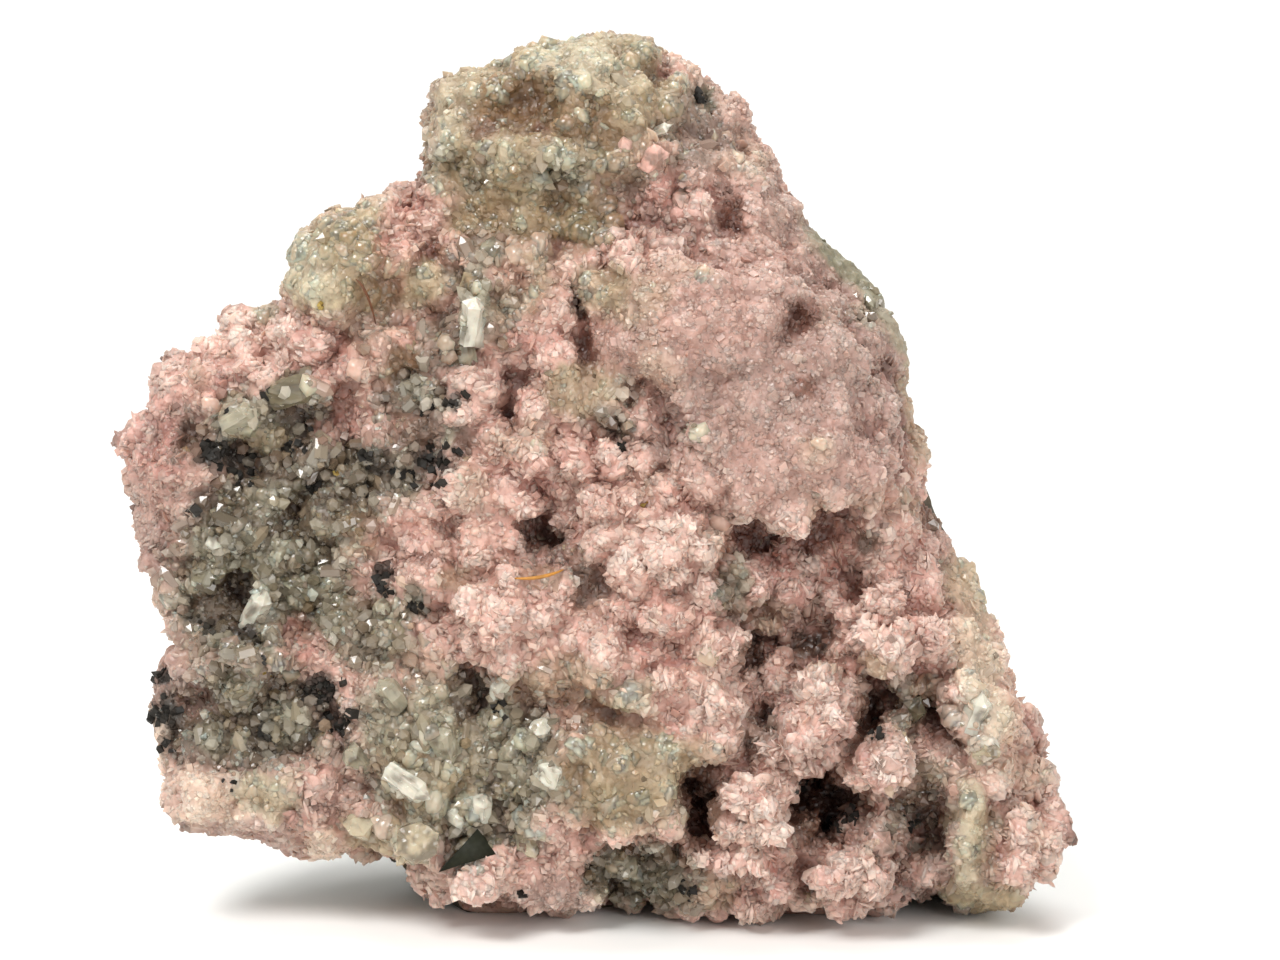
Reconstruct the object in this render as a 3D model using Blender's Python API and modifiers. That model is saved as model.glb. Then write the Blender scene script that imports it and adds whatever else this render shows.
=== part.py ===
"""Rhodochrosite specimen: a pink and cream crystalline plate grown on a dark angular rock.

Metres, +Z up.  The crystal face looks toward -Y and +X is its right-hand side.
The face is drawn in its own plane: u to the right, w up the face, d out of the face.
The whole piece then leans back a little and stands on a foot cut level at the floor.
"""
import math
import random

import bmesh
import bpy
from mathutils import Matrix, Vector, noise
from mathutils.bvhtree import BVHTree

MM = 0.001
SEED = 2119

LEAN_DEG = 8.0           # how far the plate leans back from upright
SLAB_CELL = 1.0          # mm, first skin of the plate
HALF_SLAB = 3.0          # mm, half the thickness of the slab it starts as
SKIN_CELL = 0.85         # mm, skin of plate and rock together
ROCK_TRIANGLES = 7000    # the skin is thinned to about this many

RIM_FRONT = 1.5          # mm, how far the rim stands before the drawing plane
RIM_BACK = 3.5           # mm, and behind it
FACE_HEIGHT = 6.0        # mm, rounded shoulder of the face above its rim
FACE_ROLL = 7.0          # mm, width of that shoulder
BELLY = 4.5              # mm, broad swelling of the middle of the face
BELLY_AT = (3.0, 44.0)   # mm (u, w), its crest
BELLY_SPAN = (48.0, 50.0)
BACK_HEIGHT = 5.0
BACK_ROLL = 12.0
BEVEL_WIDTH = 6.5        # mm, broken strip down the upper right side
BEVEL_DROP = 4.0         # mm, its outer edge lies this far behind the plane
BEVEL_OUT = (0.86, 0.5)  # the way this strip faces in the drawing plane
BEVEL_START = (24.0, 34.0)   # mm up the face, where it begins
KNOB_SIZE = 4.4          # mm, lumps of the crystal crust
KNOB_HEIGHT = 0.85
FINE_SIZE = 1.7          # mm, finer unevenness between the lumps
FINE_HEIGHT = 0.35
RIM_CALM = 0.25          # share of the lumps' height left at the rim
TABLE_CALM = 0.45        # and on the smoother pink table
BREAKS = 34              # flat breaks across the rock behind
BREAK_DEPTH = (0.8, 3.2) # mm, how much each takes off what stands farthest out
ROCK_UNEVEN = 0.6        # mm, gentle unevenness of the rock behind
FOOT_HOLLOW = 1.6        # mm, depth of the natural hollows left in the foot
HOLLOW_SIZE = (11.0, 9.0)    # mm, how far apart they lie in x and y
HOLLOW_SHARE = (0.02, 0.16)  # where they begin and reach full depth in the noise that sets them

# Edge of the plate seen square to its face, in mm (u, w), clockwise from the top lobe.
OUTLINE = [
    (-15.8, 82.8), (-12.1, 85.0), (-7.1, 86.8), (-3.1, 87.8), (1.4, 88.5), (3.9, 87.8),
    (6.4, 88.3), (7.9, 87.0), (8.1, 86.2), (10.9, 85.8), (13.1, 84.2), (15.4, 80.5),
    (17.4, 77.5), (19.9, 74.2), (21.7, 71.0), (23.5, 68.2), (25.9, 65.8), (28.9, 63.0),
    (30.7, 60.0), (31.7, 56.0), (32.7, 50.5), (33.1, 46.0), (34.3, 42.0), (35.4, 38.5),
    (38.1, 35.5), (39.4, 32.0), (41.4, 28.0), (42.1, 24.5), (43.9, 21.0), (45.4, 16.5),
    (47.1, 13.5), (46.7, 10.0), (46.4, 5.5), (45.1, 3.2), (41.9, 1.5), (38.7, 0.0),
    (36.4, 1.2), (34.9, 2.5), (31.4, 2.0), (28.9, 1.2), (25.9, 0.3), (19.9, 0.8),
    (14.9, 0.8), (10.9, 0.0), (7.9, 0.5), (4.9, 1.8), (1.4, 3.2), (-0.1, 1.7),
    (-2.9, 0.7), (-5.6, 1.7), (-9.1, 1.5), (-12.6, 2.2), (-16.1, 3.2), (-17.6, 5.0),
    (-20.6, 6.3), (-26.1, 6.0), (-29.1, 7.0), (-35.6, 8.5), (-41.3, 10.2), (-43.1, 13.0),
    (-43.9, 16.0), (-43.8, 22.0), (-43.3, 25.0), (-41.9, 26.5), (-41.9, 31.5),
    (-43.6, 33.5), (-45.1, 36.0), (-45.1, 40.0), (-46.1, 43.0), (-47.1, 47.0),
    (-46.9, 49.5), (-44.6, 51.0), (-42.6, 55.0), (-39.6, 57.0), (-35.1, 59.8),
    (-32.9, 59.5), (-31.1, 62.2), (-29.4, 65.0), (-29.1, 67.5), (-26.6, 70.2),
    (-23.6, 71.8), (-20.6, 71.5), (-17.6, 73.0), (-15.9, 75.5), (-16.6, 78.0),
    (-16.3, 81.0),
]

# Raised tables with a sharp ledge: lift in mm, width of the ledge's slope in mm, corners (u, w).
TABLES = [
    (4.2, 1.2, [(4, 66), (12, 65), (19, 65), (25, 60), (30, 52), (33, 43), (29, 40.6),
                (22, 41), (18, 38.6), (14.5, 39), (11, 43), (10.5, 50), (3, 55), (2, 61)]),
    (4.2, 1.2, [(-6, 20), (1, 19.6), (12.5, 19), (12.3, 17), (8.6, 15), (9.9, 12), (9, 9.9),
                (5, 9.4), (-1, 9.4), (-5, 11)]),
    (3.0, 1.2, [(0.5, 43), (9, 43), (12.8, 37), (12.6, 29), (14.8, 25), (15.5, 20), (8, 20.5),
                (1, 22), (-12, 27), (-13, 33), (-9, 36), (-0.5, 35)]),
]

# Lumps (+) and hollows (-): u, w, half width, half height, turn in degrees, lift,
# flat share of the top or floor, how far a hollow climbs as it goes in (mm per mm).
FORMS = [
    # broad steps: recess under the table, bladed middle, sunken quartz of the left, pink lobe
    (21.0, 33.5, 9.5, 6.5, 0, -1.8, 0.50, 0.0), (15.6, 27.0, 2.6, 7.5, 0, -1.6, 0.40, 0.0),
    (-8.5, 31.0, 6.5, 5.0, 0, 1.0, 0.50, 0.0), (-28.0, 35.0, 13.0, 9.0, 0, -1.6, 0.50, 0.0),
    (-32.0, 21.0, 10.0, 5.5, 0, -1.2, 0.50, 0.0), (-26.0, 46.0, 12.0, 5.0, -6, -0.9, 0.40, 0.0),
    (-34.0, 56.0, 9.0, 5.0, 15, 1.0, 0.50, 0.0), (8.0, 57.5, 6.0, 5.0, 20, 0.8, 0.60, 0.0),
    (-37.0, 12.6, 9.0, 4.4, -10, 1.0, 0.50, 0.0), (-6.0, 46.5, 5.5, 4.4, 0, 0.9, 0.50, 0.0),
    # top lobe and the shaded pocket beside it
    (-4.5, 80.0, 12.5, 9.0, 8, 3.2, 0.30, 0.0), (-6.3, 80.6, 5.6, 3.0, 5, -3.0, 0.20, 0.2),
    (-10.0, 77.8, 1.8, 1.5, -30, -2.2, 0.30, 0.0), (-4.2, 76.6, 1.3, 2.0, 0, -2.2, 0.30, 0.0),
    (9.0, 78.2, 4.6, 4.4, 0, -3.0, 0.25, 0.1), (11.4, 81.6, 1.6, 1.4, 0, -2.4, 0.30, 0.0),
    (6.2, 76.0, 2.4, 2.6, 10, 2.8, 0.50, 0.0), (9.5, 67.8, 4.8, 2.6, 10, -2.0, 0.30, 0.2),
    (13.6, 69.4, 2.0, 3.0, -15, -3.4, 0.30, 0.2), (4.6, 70.3, 3.0, 1.8, 0, -1.8, 0.20, 0.1),
    (-5.5, 70.6, 9.5, 1.8, 2, -1.8, 0.20, 0.2), (-11.0, 74.0, 1.8, 2.6, 35, -1.4, 0.20, 0.0),
    # pink table and its pits
    (20.2, 59.0, 2.2, 2.5, -25, -3.2, 0.30, 0.0), (20.6, 52.6, 2.1, 1.5, 0, -2.6, 0.30, 0.0),
    (26.6, 56.8, 1.2, 1.2, 0, -1.6, 0.30, 0.0), (23.0, 47.5, 8.5, 5.0, 0, 1.6, 0.10, 0.0),
    (9.0, 61.0, 8.0, 4.5, 20, 1.2, 0.10, 0.0), (15.0, 53.3, 6.0, 1.6, 6, -1.3, 0.10, 0.0),
    # hollows in the middle
    (-4.2, 38.6, 3.8, 3.6, 30, -4.6, 0.25, 0.3), (0.0, 33.6, 1.8, 2.4, 0, -3.0, 0.25, 0.2),
    (2.4, 49.2, 3.4, 1.9, -20, -3.0, 0.20, 0.2), (9.0, 48.0, 2.3, 3.2, 0, -2.8, 0.20, 0.1),
    (-0.4, 57.0, 1.6, 2.4, 0, -3.0, 0.25, 0.1), (-1.0, 61.4, 1.4, 1.4, 0, -2.4, 0.25, 0.0),
    (-7.6, 53.8, 2.8, 1.8, 0, -3.0, 0.25, 0.2), (-8.0, 50.6, 1.3, 2.2, 0, -2.4, 0.25, 0.0),
    (8.0, 37.5, 4.6, 4.2, 0, 1.6, 0.10, 0.0), (4.0, 31.0, 4.4, 3.2, 20, 1.2, 0.10, 0.0),
    (-8.0, 30.5, 5.0, 4.4, 0, 1.6, 0.10, 0.0), (-7.5, 46.0, 4.6, 3.2, -10, 1.6, 0.10, 0.0),
    (4.8, 27.6, 1.5, 2.6, 25, -2.2, 0.20, 0.0), (2.0, 22.3, 3.4, 1.9, 10, -2.2, 0.20, 0.2),
    # crusted step and vugs under the table
    (17.0, 33.0, 4.4, 4.8, 0, -3.0, 0.40, 0.1), (16.3, 38.2, 2.6, 1.7, -20, -4.2, 0.30, 0.5),
    (22.8, 38.6, 2.7, 2.3, 10, -5.4, 0.35, 0.5), (27.4, 37.9, 2.2, 1.7, 0, -4.4, 0.35, 0.4),
    (27.6, 33.9, 2.7, 1.5, -8, -5.0, 0.40, 0.3), (16.1, 27.0, 2.4, 2.3, 0, -6.4, 0.40, 0.3),
    (21.4, 27.6, 3.6, 2.7, 15, -5.4, 0.40, 0.3), (27.3, 21.3, 2.1, 4.6, 0, -8.0, 0.40, 0.2),
    (17.2, 20.6, 2.6, 1.6, 15, -3.4, 0.20, 0.3), (34.0, 19.4, 2.1, 2.6, 0, -4.4, 0.30, 0.2),
    (22.3, 11.6, 4.4, 5.0, 0, -9.6, 0.50, 0.2), (25.6, 12.2, 3.0, 3.0, 0, -8.0, 0.45, 0.2),
    (11.2, 12.2, 3.0, 5.0, -8, -6.4, 0.40, 0.2), (20.8, 5.0, 1.7, 4.2, 0, -4.6, 0.35, 0.0),
    (43.4, 13.2, 1.4, 3.4, -20, -3.4, 0.30, 0.0), (29.0, 8.0, 1.7, 2.6, -25, -3.6, 0.30, 0.0),
    # lumps of the lower right
    (28.4, 29.3, 5.4, 4.2, 0, 3.4, 0.25, 0.0), (32.4, 35.6, 4.0, 3.6, 0, 2.2, 0.20, 0.0),
    (22.6, 20.2, 4.2, 6.0, 0, 3.0, 0.30, 0.0), (26.0, 23.7, 1.9, 1.7, 0, 2.6, 0.40, 0.0),
    (28.1, 16.0, 2.9, 3.4, 0, 4.4, 0.35, 0.0), (27.6, 9.0, 2.1, 2.8, 30, 3.4, 0.45, 0.0),
    (16.0, 12.0, 4.5, 5.6, -10, 4.8, 0.40, 0.0), (25.2, 4.6, 4.8, 4.9, 0, 4.8, 0.35, 0.0),
    (17.4, 4.9, 3.4, 3.4, 0, 3.6, 0.35, 0.0), (12.6, 6.6, 2.2, 2.0, 0, 3.0, 0.30, 0.0),
    (38.4, 22.6, 3.9, 7.6, 6, 3.2, 0.30, 0.0), (36.8, 9.6, 2.4, 7.6, 3, 3.0, 0.30, 0.0),
    (43.0, 7.4, 4.8, 5.4, 0, 3.2, 0.30, 0.0), (40.6, 15.4, 2.7, 3.0, 0, 2.2, 0.30, 0.0),
    (31.8, 10.6, 3.1, 5.6, 0, -1.6, 0.30, 0.0), (38.8, 2.2, 4.0, 3.0, 0, 1.8, 0.30, 0.0),
    # shelf of cream quartz and the recess below it
    (5.0, 5.4, 5.6, 4.4, 0, -2.6, 0.40, 0.3), (8.7, 2.2, 2.8, 2.2, 0, 2.4, 0.30, 0.0),
    (-11.6, 4.2, 6.4, 2.7, -4, 3.8, 0.35, 0.0), (-3.2, 2.9, 3.1, 2.6, 0, 3.2, 0.30, 0.0),
    (-11.2, 23.0, 2.6, 3.4, -20, -3.4, 0.30, 0.2), (-15.0, 19.5, 5.6, 4.4, 0, 1.6, 0.20, 0.0),
    # grey quartz of the left side, with its slot
    (-35.2, 31.2, 5.4, 3.0, 8, -5.4, 0.45, 0.4), (-33.5, 26.3, 7.4, 3.6, 5, 2.6, 0.25, 0.0),
    (-24.6, 20.8, 2.2, 5.4, 26, -2.8, 0.25, 0.0), (-41.6, 20.6, 2.3, 4.4, 0, -1.8, 0.20, 0.0),
    (-34.0, 37.6, 4.0, 3.4, 0, 2.0, 0.30, 0.0), (-28.0, 13.4, 5.0, 3.2, 0, 1.8, 0.20, 0.0),
    (-39.4, 12.4, 6.0, 3.6, -10, 1.8, 0.20, 0.0), (-43.5, 46.0, 4.6, 6.4, 0, 1.6, 0.20, 0.0),
    (-38.7, 48.2, 1.6, 3.6, -20, -2.2, 0.20, 0.0), (-28.0, 42.0, 7.0, 2.6, -8, -1.6, 0.20, 0.0),
    # black-spotted band and the crust above it
    (-33.6, 46.6, 3.6, 2.4, 0, -2.6, 0.30, 0.1), (-32.6, 50.0, 2.9, 2.0, 0, 2.2, 0.30, 0.0),
    (-27.4, 52.4, 3.0, 1.9, -8, 2.6, 0.50, 0.0), (-24.0, 51.6, 1.7, 2.0, 0, -2.6, 0.30, 0.1),
    (-15.4, 46.2, 4.4, 1.9, -10, -2.6, 0.30, 0.2), (-19.5, 55.0, 2.6, 1.6, -20, -1.6, 0.20, 0.0),
    (-34.6, 56.6, 7.4, 3.4, 15, 2.2, 0.20, 0.0), (-23.0, 66.0, 6.6, 5.6, 20, 2.4, 0.25, 0.0),
    (-15.6, 66.4, 2.6, 1.9, 20, -2.4, 0.30, 0.0), (-19.4, 61.0, 4.6, 1.7, -15, -1.8, 0.20, 0.1),
    (-11.2, 60.6, 1.8, 5.2, -6, 2.0, 0.30, 0.0), (-4.6, 59.0, 4.2, 4.2, 0, 1.4, 0.10, 0.0),
]

# Corners of the rock behind the plate, in mm (u, w, d).  It is the hull of these points.
ROCK_CORNERS = [
    (-11, 80, -3), (9, 83, -3), (19, 73, -3), (28.6, 62.6, -4), (32.4, 50, -4), (34, 42.6, -5),
    (43, 18, -4), (44, 6, -4), (38, -6, -3), (-5, -6, -2), (-40, 23, -3), (-43, 44, -3),
    (-30, 63, -3), (-18, 70, -3),
    (-8, 74, -11), (13, 73, -15), (28, 48, -27), (38, 20, -23), (37, -6, -22), (14, -6, -31),
    (-3, -6, -26), (-9, -6, -18), (-33, 30, -15), (-24, 56, -12), (-2, 50, -27), (20, 20, -32),
    (-14, 22, -27),
]

# Larger flat-faced crystals: u, w, radius, height proud of the rock, turn of the long axis,
# how far that axis tips over from square to the face (degrees), number of sides.
BIG_CRYSTALS = [
    (6.2, 76.0, 2.0, 1.6, 15, 12, 4), (-27.4, 52.4, 2.2, 1.4, 80, 8, 4),
    (-3.7, 15.8, 1.8, 1.7, 0, 8, 6), (-5.6, 19.5, 1.6, 1.3, 120, 18, 6),
    (-32.4, 31.8, 1.5, 2.6, 60, 42, 6), (-17.0, 9.0, 2.3, 1.5, 200, 10, 6),
    (-17.6, 14.6, 1.3, 2.9, 320, 56, 6), (-11.2, 11.6, 1.1, 2.2, 70, 40, 6),
    (-21.6, 11.2, 1.6, 1.8, 60, 38, 6), (-13.4, 15.6, 1.7, 1.5, 160, 20, 6),
    (-11.6, 7.9, 1.9, 2.4, 30, 50, 3), (-11.2, 62.2, 1.1, 2.6, 85, 48, 6),
    (-38.2, 33.0, 1.7, 1.8, 200, 30, 6), (-31.2, 28.8, 1.2, 1.7, 100, 30, 6),
    (-19.6, 23.6, 1.2, 1.9, 35, 40, 6), (-22.5, 17.2, 1.1, 1.5, 300, 25, 6),
    (26.1, 23.7, 1.2, 1.5, 0, 20, 6), (27.6, 9.0, 1.5, 1.6, 300, 22, 4),
    (16.6, 34.2, 1.1, 1.7, 120, 35, 4), (28.6, 16.8, 1.3, 1.6, 60, 24, 4),
    (-24.6, 60.4, 1.1, 1.4, 20, 25, 6), (-17.4, 57.6, 1.6, 1.5, 0, 14, 4),
    (3.0, 74.6, 1.1, 1.4, 40, 20, 4), (4.4, 71.3, 1.0, 1.3, 100, 22, 4),
]

# Areas that carry small crystals: u, w, half width, half height, how many, smallest and
# largest radius in mm, number of sides.
CRYSTAL_FIELDS = [
    (-14.0, 16.0, 10.0, 7.0, 12, 0.8, 1.4, 6), (-31.0, 22.0, 9.0, 6.0, 10, 0.8, 1.4, 6),
    (-27.0, 47.0, 10.0, 5.0, 8, 0.8, 1.3, 4), (22.5, 20.5, 4.0, 6.0, 6, 0.8, 1.2, 4),
    (32.0, 11.0, 4.0, 7.0, 6, 0.7, 1.1, 4), (5.0, 30.0, 9.0, 8.0, 8, 0.9, 1.4, 4),
    (-9.0, 57.0, 6.0, 6.0, 5, 0.8, 1.3, 4),
]


def clear_scene():
    for obj in list(bpy.data.objects):
        bpy.data.objects.remove(obj, do_unlink=True)


def add_mesh(name, bm, collection):
    mesh = bpy.data.meshes.new(name)
    bm.to_mesh(mesh)
    bm.free()
    obj = bpy.data.objects.new(name, mesh)
    collection.objects.link(obj)
    return obj


def apply_modifiers(obj):
    depsgraph = bpy.context.evaluated_depsgraph_get()
    baked = bpy.data.meshes.new_from_object(obj.evaluated_get(depsgraph))
    obj.modifiers.clear()
    obj.data = baked


def voxel_skin(obj, cell):
    mod = obj.modifiers.new("skin", "REMESH")
    mod.mode = "VOXEL"
    mod.voxel_size = cell * MM
    apply_modifiers(obj)


def smooth(a, b, x):
    t = min(max((x - a) / (b - a), 0.0), 1.0)
    return t * t * (3.0 - 2.0 * t)


def edge_distance(u, w, ring):
    """Distance to the ring's edge, whether the point is inside, and the way out."""
    best, inside, out = 1e9, False, (0.0, 1.0)
    for i, (u1, w1) in enumerate(ring):
        u0, w0 = ring[i - 1]
        du, dw = u1 - u0, w1 - w0
        t = min(max(((u - u0) * du + (w - w0) * dw) / (du * du + dw * dw), 0.0), 1.0)
        ou, ow = u0 + t * du - u, w0 + t * dw - w
        dist = math.hypot(ou, ow)
        if dist < best:
            length = math.hypot(du, dw)
            best, out = dist, (-dw / length, du / length)
        if (w0 > w) != (w1 > w) and u < u0 + (w - w0) / (w1 - w0) * du:
            inside = not inside
    return best, inside, out


def form_weight(form, u, w):
    fu, fw, ru, rw, turn, _, flat, _ = form
    if abs(u - fu) > ru + rw or abs(w - fw) > ru + rw:
        return 0.0
    a = math.radians(turn)
    x = (u - fu) * math.cos(a) + (w - fw) * math.sin(a)
    y = (w - fw) * math.cos(a) - (u - fu) * math.sin(a)
    return 1.0 - smooth(flat, 1.0, math.hypot(x / ru, y / rw))


def relief(u, w):
    """Lift of the lumps, hollows and tables at a point of the face, and their climb."""
    lift = climb = 0.0
    for height, slope, ring in TABLES:
        dist, inside, _ = edge_distance(u, w, ring)
        lift += height * smooth(-slope, slope, dist if inside else -dist)
    for form in FORMS:
        weight = form_weight(form, u, w)
        if weight:
            lift += form[5] * weight
            climb += max(-form[5], 0.0) * form[7] * weight
    return lift, climb


def plate(collection):
    """The plate: its edge pulled up to a slab, skinned, then swollen and given its relief."""
    bm = bmesh.new()
    ring = [bm.verts.new((u * MM, -HALF_SLAB * MM, w * MM)) for u, w in OUTLINE]
    back = [bm.verts.new((u * MM, HALF_SLAB * MM, w * MM)) for u, w in OUTLINE]
    bm.faces.new(ring)
    bm.faces.new(back[::-1])
    for i in range(len(ring)):
        bm.faces.new((ring[i - 1], back[i - 1], back[i], ring[i]))
    bmesh.ops.recalc_face_normals(bm, faces=bm.faces)
    bmesh.ops.triangulate(bm, faces=bm.faces)
    obj = add_mesh("plate", bm, collection)
    voxel_skin(obj, SLAB_CELL)
    for vert in obj.data.vertices:
        u, w = vert.co.x / MM, vert.co.z / MM
        share = -vert.co.y / MM / HALF_SLAB
        dist, inside, out = edge_distance(u, w, OUTLINE)
        dist = dist if inside else 0.0
        if share >= 0.0:
            t = 1.0 - min(dist / FACE_ROLL, 1.0)
            round_top = RIM_FRONT + FACE_HEIGHT * math.sqrt(1.0 - t * t)
            t = min(dist / BEVEL_WIDTH, 1.0)
            flat_top = -BEVEL_DROP + (RIM_FRONT + FACE_HEIGHT + BEVEL_DROP) * t
            side = smooth(0.55, 0.9, BEVEL_OUT[0] * out[0] + BEVEL_OUT[1] * out[1])
            side *= smooth(*BEVEL_START, w)
            top = round_top + (flat_top - round_top) * side
            across = (u - BELLY_AT[0]) / BELLY_SPAN[0]
            up = (w - BELLY_AT[1]) / BELLY_SPAN[1]
            top += BELLY * max(1.0 - across ** 2 - up ** 2, 0.0)
            lift, climb = relief(u, w)
            fade = smooth(-0.5, 4.5, dist)
            vert.co.y = -(top + lift * fade) * share * MM
            vert.co.z += climb * fade * share * MM
        else:
            t = 1.0 - min(dist / BACK_ROLL, 1.0)
            vert.co.y = -(RIM_BACK + BACK_HEIGHT * math.sqrt(1.0 - t * t)) * share * MM
    return obj


def rock(collection):
    """The angular rock the plate grew on: the hull of its corners."""
    bm = bmesh.new()
    for u, w, d in ROCK_CORNERS:
        bm.verts.new((u * MM, -d * MM, w * MM))
    hull = bmesh.ops.convex_hull(bm, input=bm.verts)
    bmesh.ops.delete(bm, geom=hull["geom_interior"], context="VERTS")
    bmesh.ops.recalc_face_normals(bm, faces=bm.faces)
    return add_mesh("rock", bm, collection)


def break_flat(obj):
    """Flat breaks behind: whatever stands beyond a break is brought back to its plane."""
    rng = random.Random(SEED)
    rear = [v for v in obj.data.vertices if v.co.y > 0.0]
    for _ in range(BREAKS):
        a, b = rng.uniform(0.0, math.tau), math.radians(rng.uniform(4.0, 72.0))
        out = Vector((math.cos(a) * math.sin(b), math.cos(b), math.sin(a) * math.sin(b)))
        limit = max(v.co.dot(out) for v in rear) - rng.uniform(*BREAK_DEPTH) * MM
        for vert in rear:
            beyond = vert.co.dot(out) - limit
            if beyond > 0.0:
                vert.co -= out * beyond * smooth(1.0, 5.0, vert.co.y / MM)
    obj.data.update()


def roughen(obj):
    """Knobbly crystal crust in front, uneven rock behind."""
    mesh = obj.data
    moves = []
    for vert in mesh.vertices:
        p = vert.co / MM
        front = smooth(-1.0, 3.0, -p.y)
        near, _ = noise.voronoi(p / KNOB_SIZE, distance_metric="DISTANCE")
        knob = KNOB_HEIGHT * (1.0 - 2.2 * near[0]) + FINE_HEIGHT * noise.noise(p / FINE_SIZE)
        uneven = ROCK_UNEVEN * noise.noise(p / 9.0)
        dist, inside, _ = edge_distance(p.x, p.z, OUTLINE)
        calm = RIM_CALM + (1.0 - RIM_CALM) * smooth(0.0, 3.0, dist if inside else 0.0)
        table = edge_distance(p.x, p.z, TABLES[0][2])
        calm *= TABLE_CALM if table[1] and table[0] > 1.5 and front > 0.5 else 1.0
        moves.append(vert.normal * (knob * front + uneven * (1.0 - front)) * calm * MM)
    for vert, move in zip(mesh.vertices, moves):
        vert.co += move
    mesh.update()


def thin_out(obj, triangles):
    mesh = obj.data
    mesh.calc_loop_triangles()
    mod = obj.modifiers.new("thin", "DECIMATE")
    mod.ratio = triangles / len(mesh.loop_triangles)
    mod.use_collapse_triangulate = True
    apply_modifiers(obj)


def lean_back(obj):
    """Lean about the foot line: the face looks slightly upward."""
    obj.data.transform(Matrix.Rotation(math.radians(-LEAN_DEG), 4, "X"))


def boolean(obj, other, operation):
    other.hide_render = True
    other.display_type = "WIRE"
    mod = obj.modifiers.new(operation.lower(), "BOOLEAN")
    mod.operation = operation
    mod.solver = "EXACT"
    mod.use_self = operation == "UNION"
    mod.object = other
    apply_modifiers(obj)
    bpy.data.objects.remove(other, do_unlink=True)


def hollow_foot(obj):
    """Leave natural hollows in the underside, so only parts of it meet the floor."""
    for vert in obj.data.vertices:
        p = vert.co / MM
        if p.z < 0.0:
            spot = Vector((p.x / HOLLOW_SIZE[0], p.y / HOLLOW_SIZE[1], 4.7))
            hollow = smooth(*HOLLOW_SHARE, noise.noise(spot))
            vert.co.z += (FOOT_HOLLOW - p.z) * hollow * MM
    obj.data.update()


def level_foot(obj, collection):
    """Cut the underside level at the floor so the piece stands."""
    bm = bmesh.new()
    bmesh.ops.create_cube(bm, size=1.0)
    block = add_mesh("floor_cut", bm, collection)
    block.data.transform(Matrix.Translation((0, 0, -0.05)) @ Matrix.Diagonal((0.3, 0.3, 0.1, 1)))
    boolean(obj, block, "DIFFERENCE")


def crystal_into(bm, foot, axis, radius, proud, sides, rng):
    """One crystal: a prism sunk into the rock, closed by a low pyramid."""
    axis = axis.normalized()
    across = axis.orthogonal().normalized()
    across = Matrix.Rotation(rng.uniform(0, math.tau), 3, axis) @ across
    other = axis.cross(across)
    cap = radius * (0.45 if sides == 4 else 0.75)
    shoulder = max(proud - cap, 0.15 * radius)
    squash = rng.uniform(0.75, 1.0)
    rings = []
    for height in (-radius * 1.1, shoulder):
        rings.append([bm.verts.new(foot + (axis * height + across * math.cos(a) * radius
                                           + other * math.sin(a) * radius * squash) * MM)
                      for a in (math.tau * k / sides for k in range(sides))])
    lean = (across * rng.uniform(-0.3, 0.3) + other * rng.uniform(-0.3, 0.3)) * radius
    tip = bm.verts.new(foot + (axis * (shoulder + cap) + lean) * MM)
    bm.faces.new(rings[0][::-1])
    for k in range(sides):
        j = (k + 1) % sides
        bm.faces.new((rings[0][k], rings[0][j], rings[1][j], rings[1][k]))
        bm.faces.new((rings[1][k], rings[1][j], tip))


def crystals(obj, collection):
    """Flat-faced crystals standing in the crust, grown into one piece with it."""
    rng = random.Random(SEED)
    lean = Matrix.Rotation(math.radians(-LEAN_DEG), 3, "X")
    outward = lean @ Vector((0, -1, 0))
    tree = BVHTree.FromObject(obj, bpy.context.evaluated_depsgraph_get())
    wanted = [spot + (0.0,) for spot in BIG_CRYSTALS]
    for u, w, ru, rw, count, small, large, sides in CRYSTAL_FIELDS:
        for _ in range(count):
            r = rng.uniform(small, large)
            wanted.append((u + ru * rng.uniform(-1, 1), w + rw * rng.uniform(-1, 1), r,
                           r * rng.uniform(0.7, 1.3), rng.uniform(0, 360),
                           rng.uniform(5, 40), sides, 1.0))
    bm = bmesh.new()
    placed = []
    for u, w, radius, proud, turn, tip_over, sides, follow in wanted:
        start = lean @ Vector((u * MM, -0.05, w * MM))
        spot, normal, _, _ = tree.ray_cast(start, -outward)
        if spot is None or any((spot - p).length < (radius + r) * 1.15 * MM for p, r in placed):
            continue
        a, b = math.radians(turn), math.radians(tip_over)
        along = lean @ Vector((math.cos(a) * math.sin(b), -math.cos(b), math.sin(a) * math.sin(b)))
        axis = (along + normal * follow).normalized()
        if axis.dot(normal) < 0.35:
            axis = (axis + normal).normalized()
        placed.append((spot, radius))
        crystal_into(bm, spot, axis, radius, proud, sides, rng)
    bmesh.ops.recalc_face_normals(bm, faces=bm.faces)
    boolean(obj, add_mesh("crystals", bm, collection), "UNION")


def tidy(obj):
    bm = bmesh.new()
    bm.from_mesh(obj.data)
    bmesh.ops.dissolve_degenerate(bm, edges=bm.edges, dist=1e-6)
    bmesh.ops.triangulate(bm, faces=bm.faces)
    bmesh.ops.dissolve_degenerate(bm, edges=bm.edges, dist=1e-6)
    bmesh.ops.triangulate(bm, faces=bm.faces)
    bmesh.ops.recalc_face_normals(bm, faces=bm.faces)
    bm.to_mesh(obj.data)
    bm.free()


def centre_on_floor(obj):
    low = [min(v.co[k] for v in obj.data.vertices) for k in range(3)]
    high = [max(v.co[k] for v in obj.data.vertices) for k in range(3)]
    shift = Vector((-(low[0] + high[0]) / 2, -(low[1] + high[1]) / 2, -low[2]))
    obj.data.transform(Matrix.Translation(shift))


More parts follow.
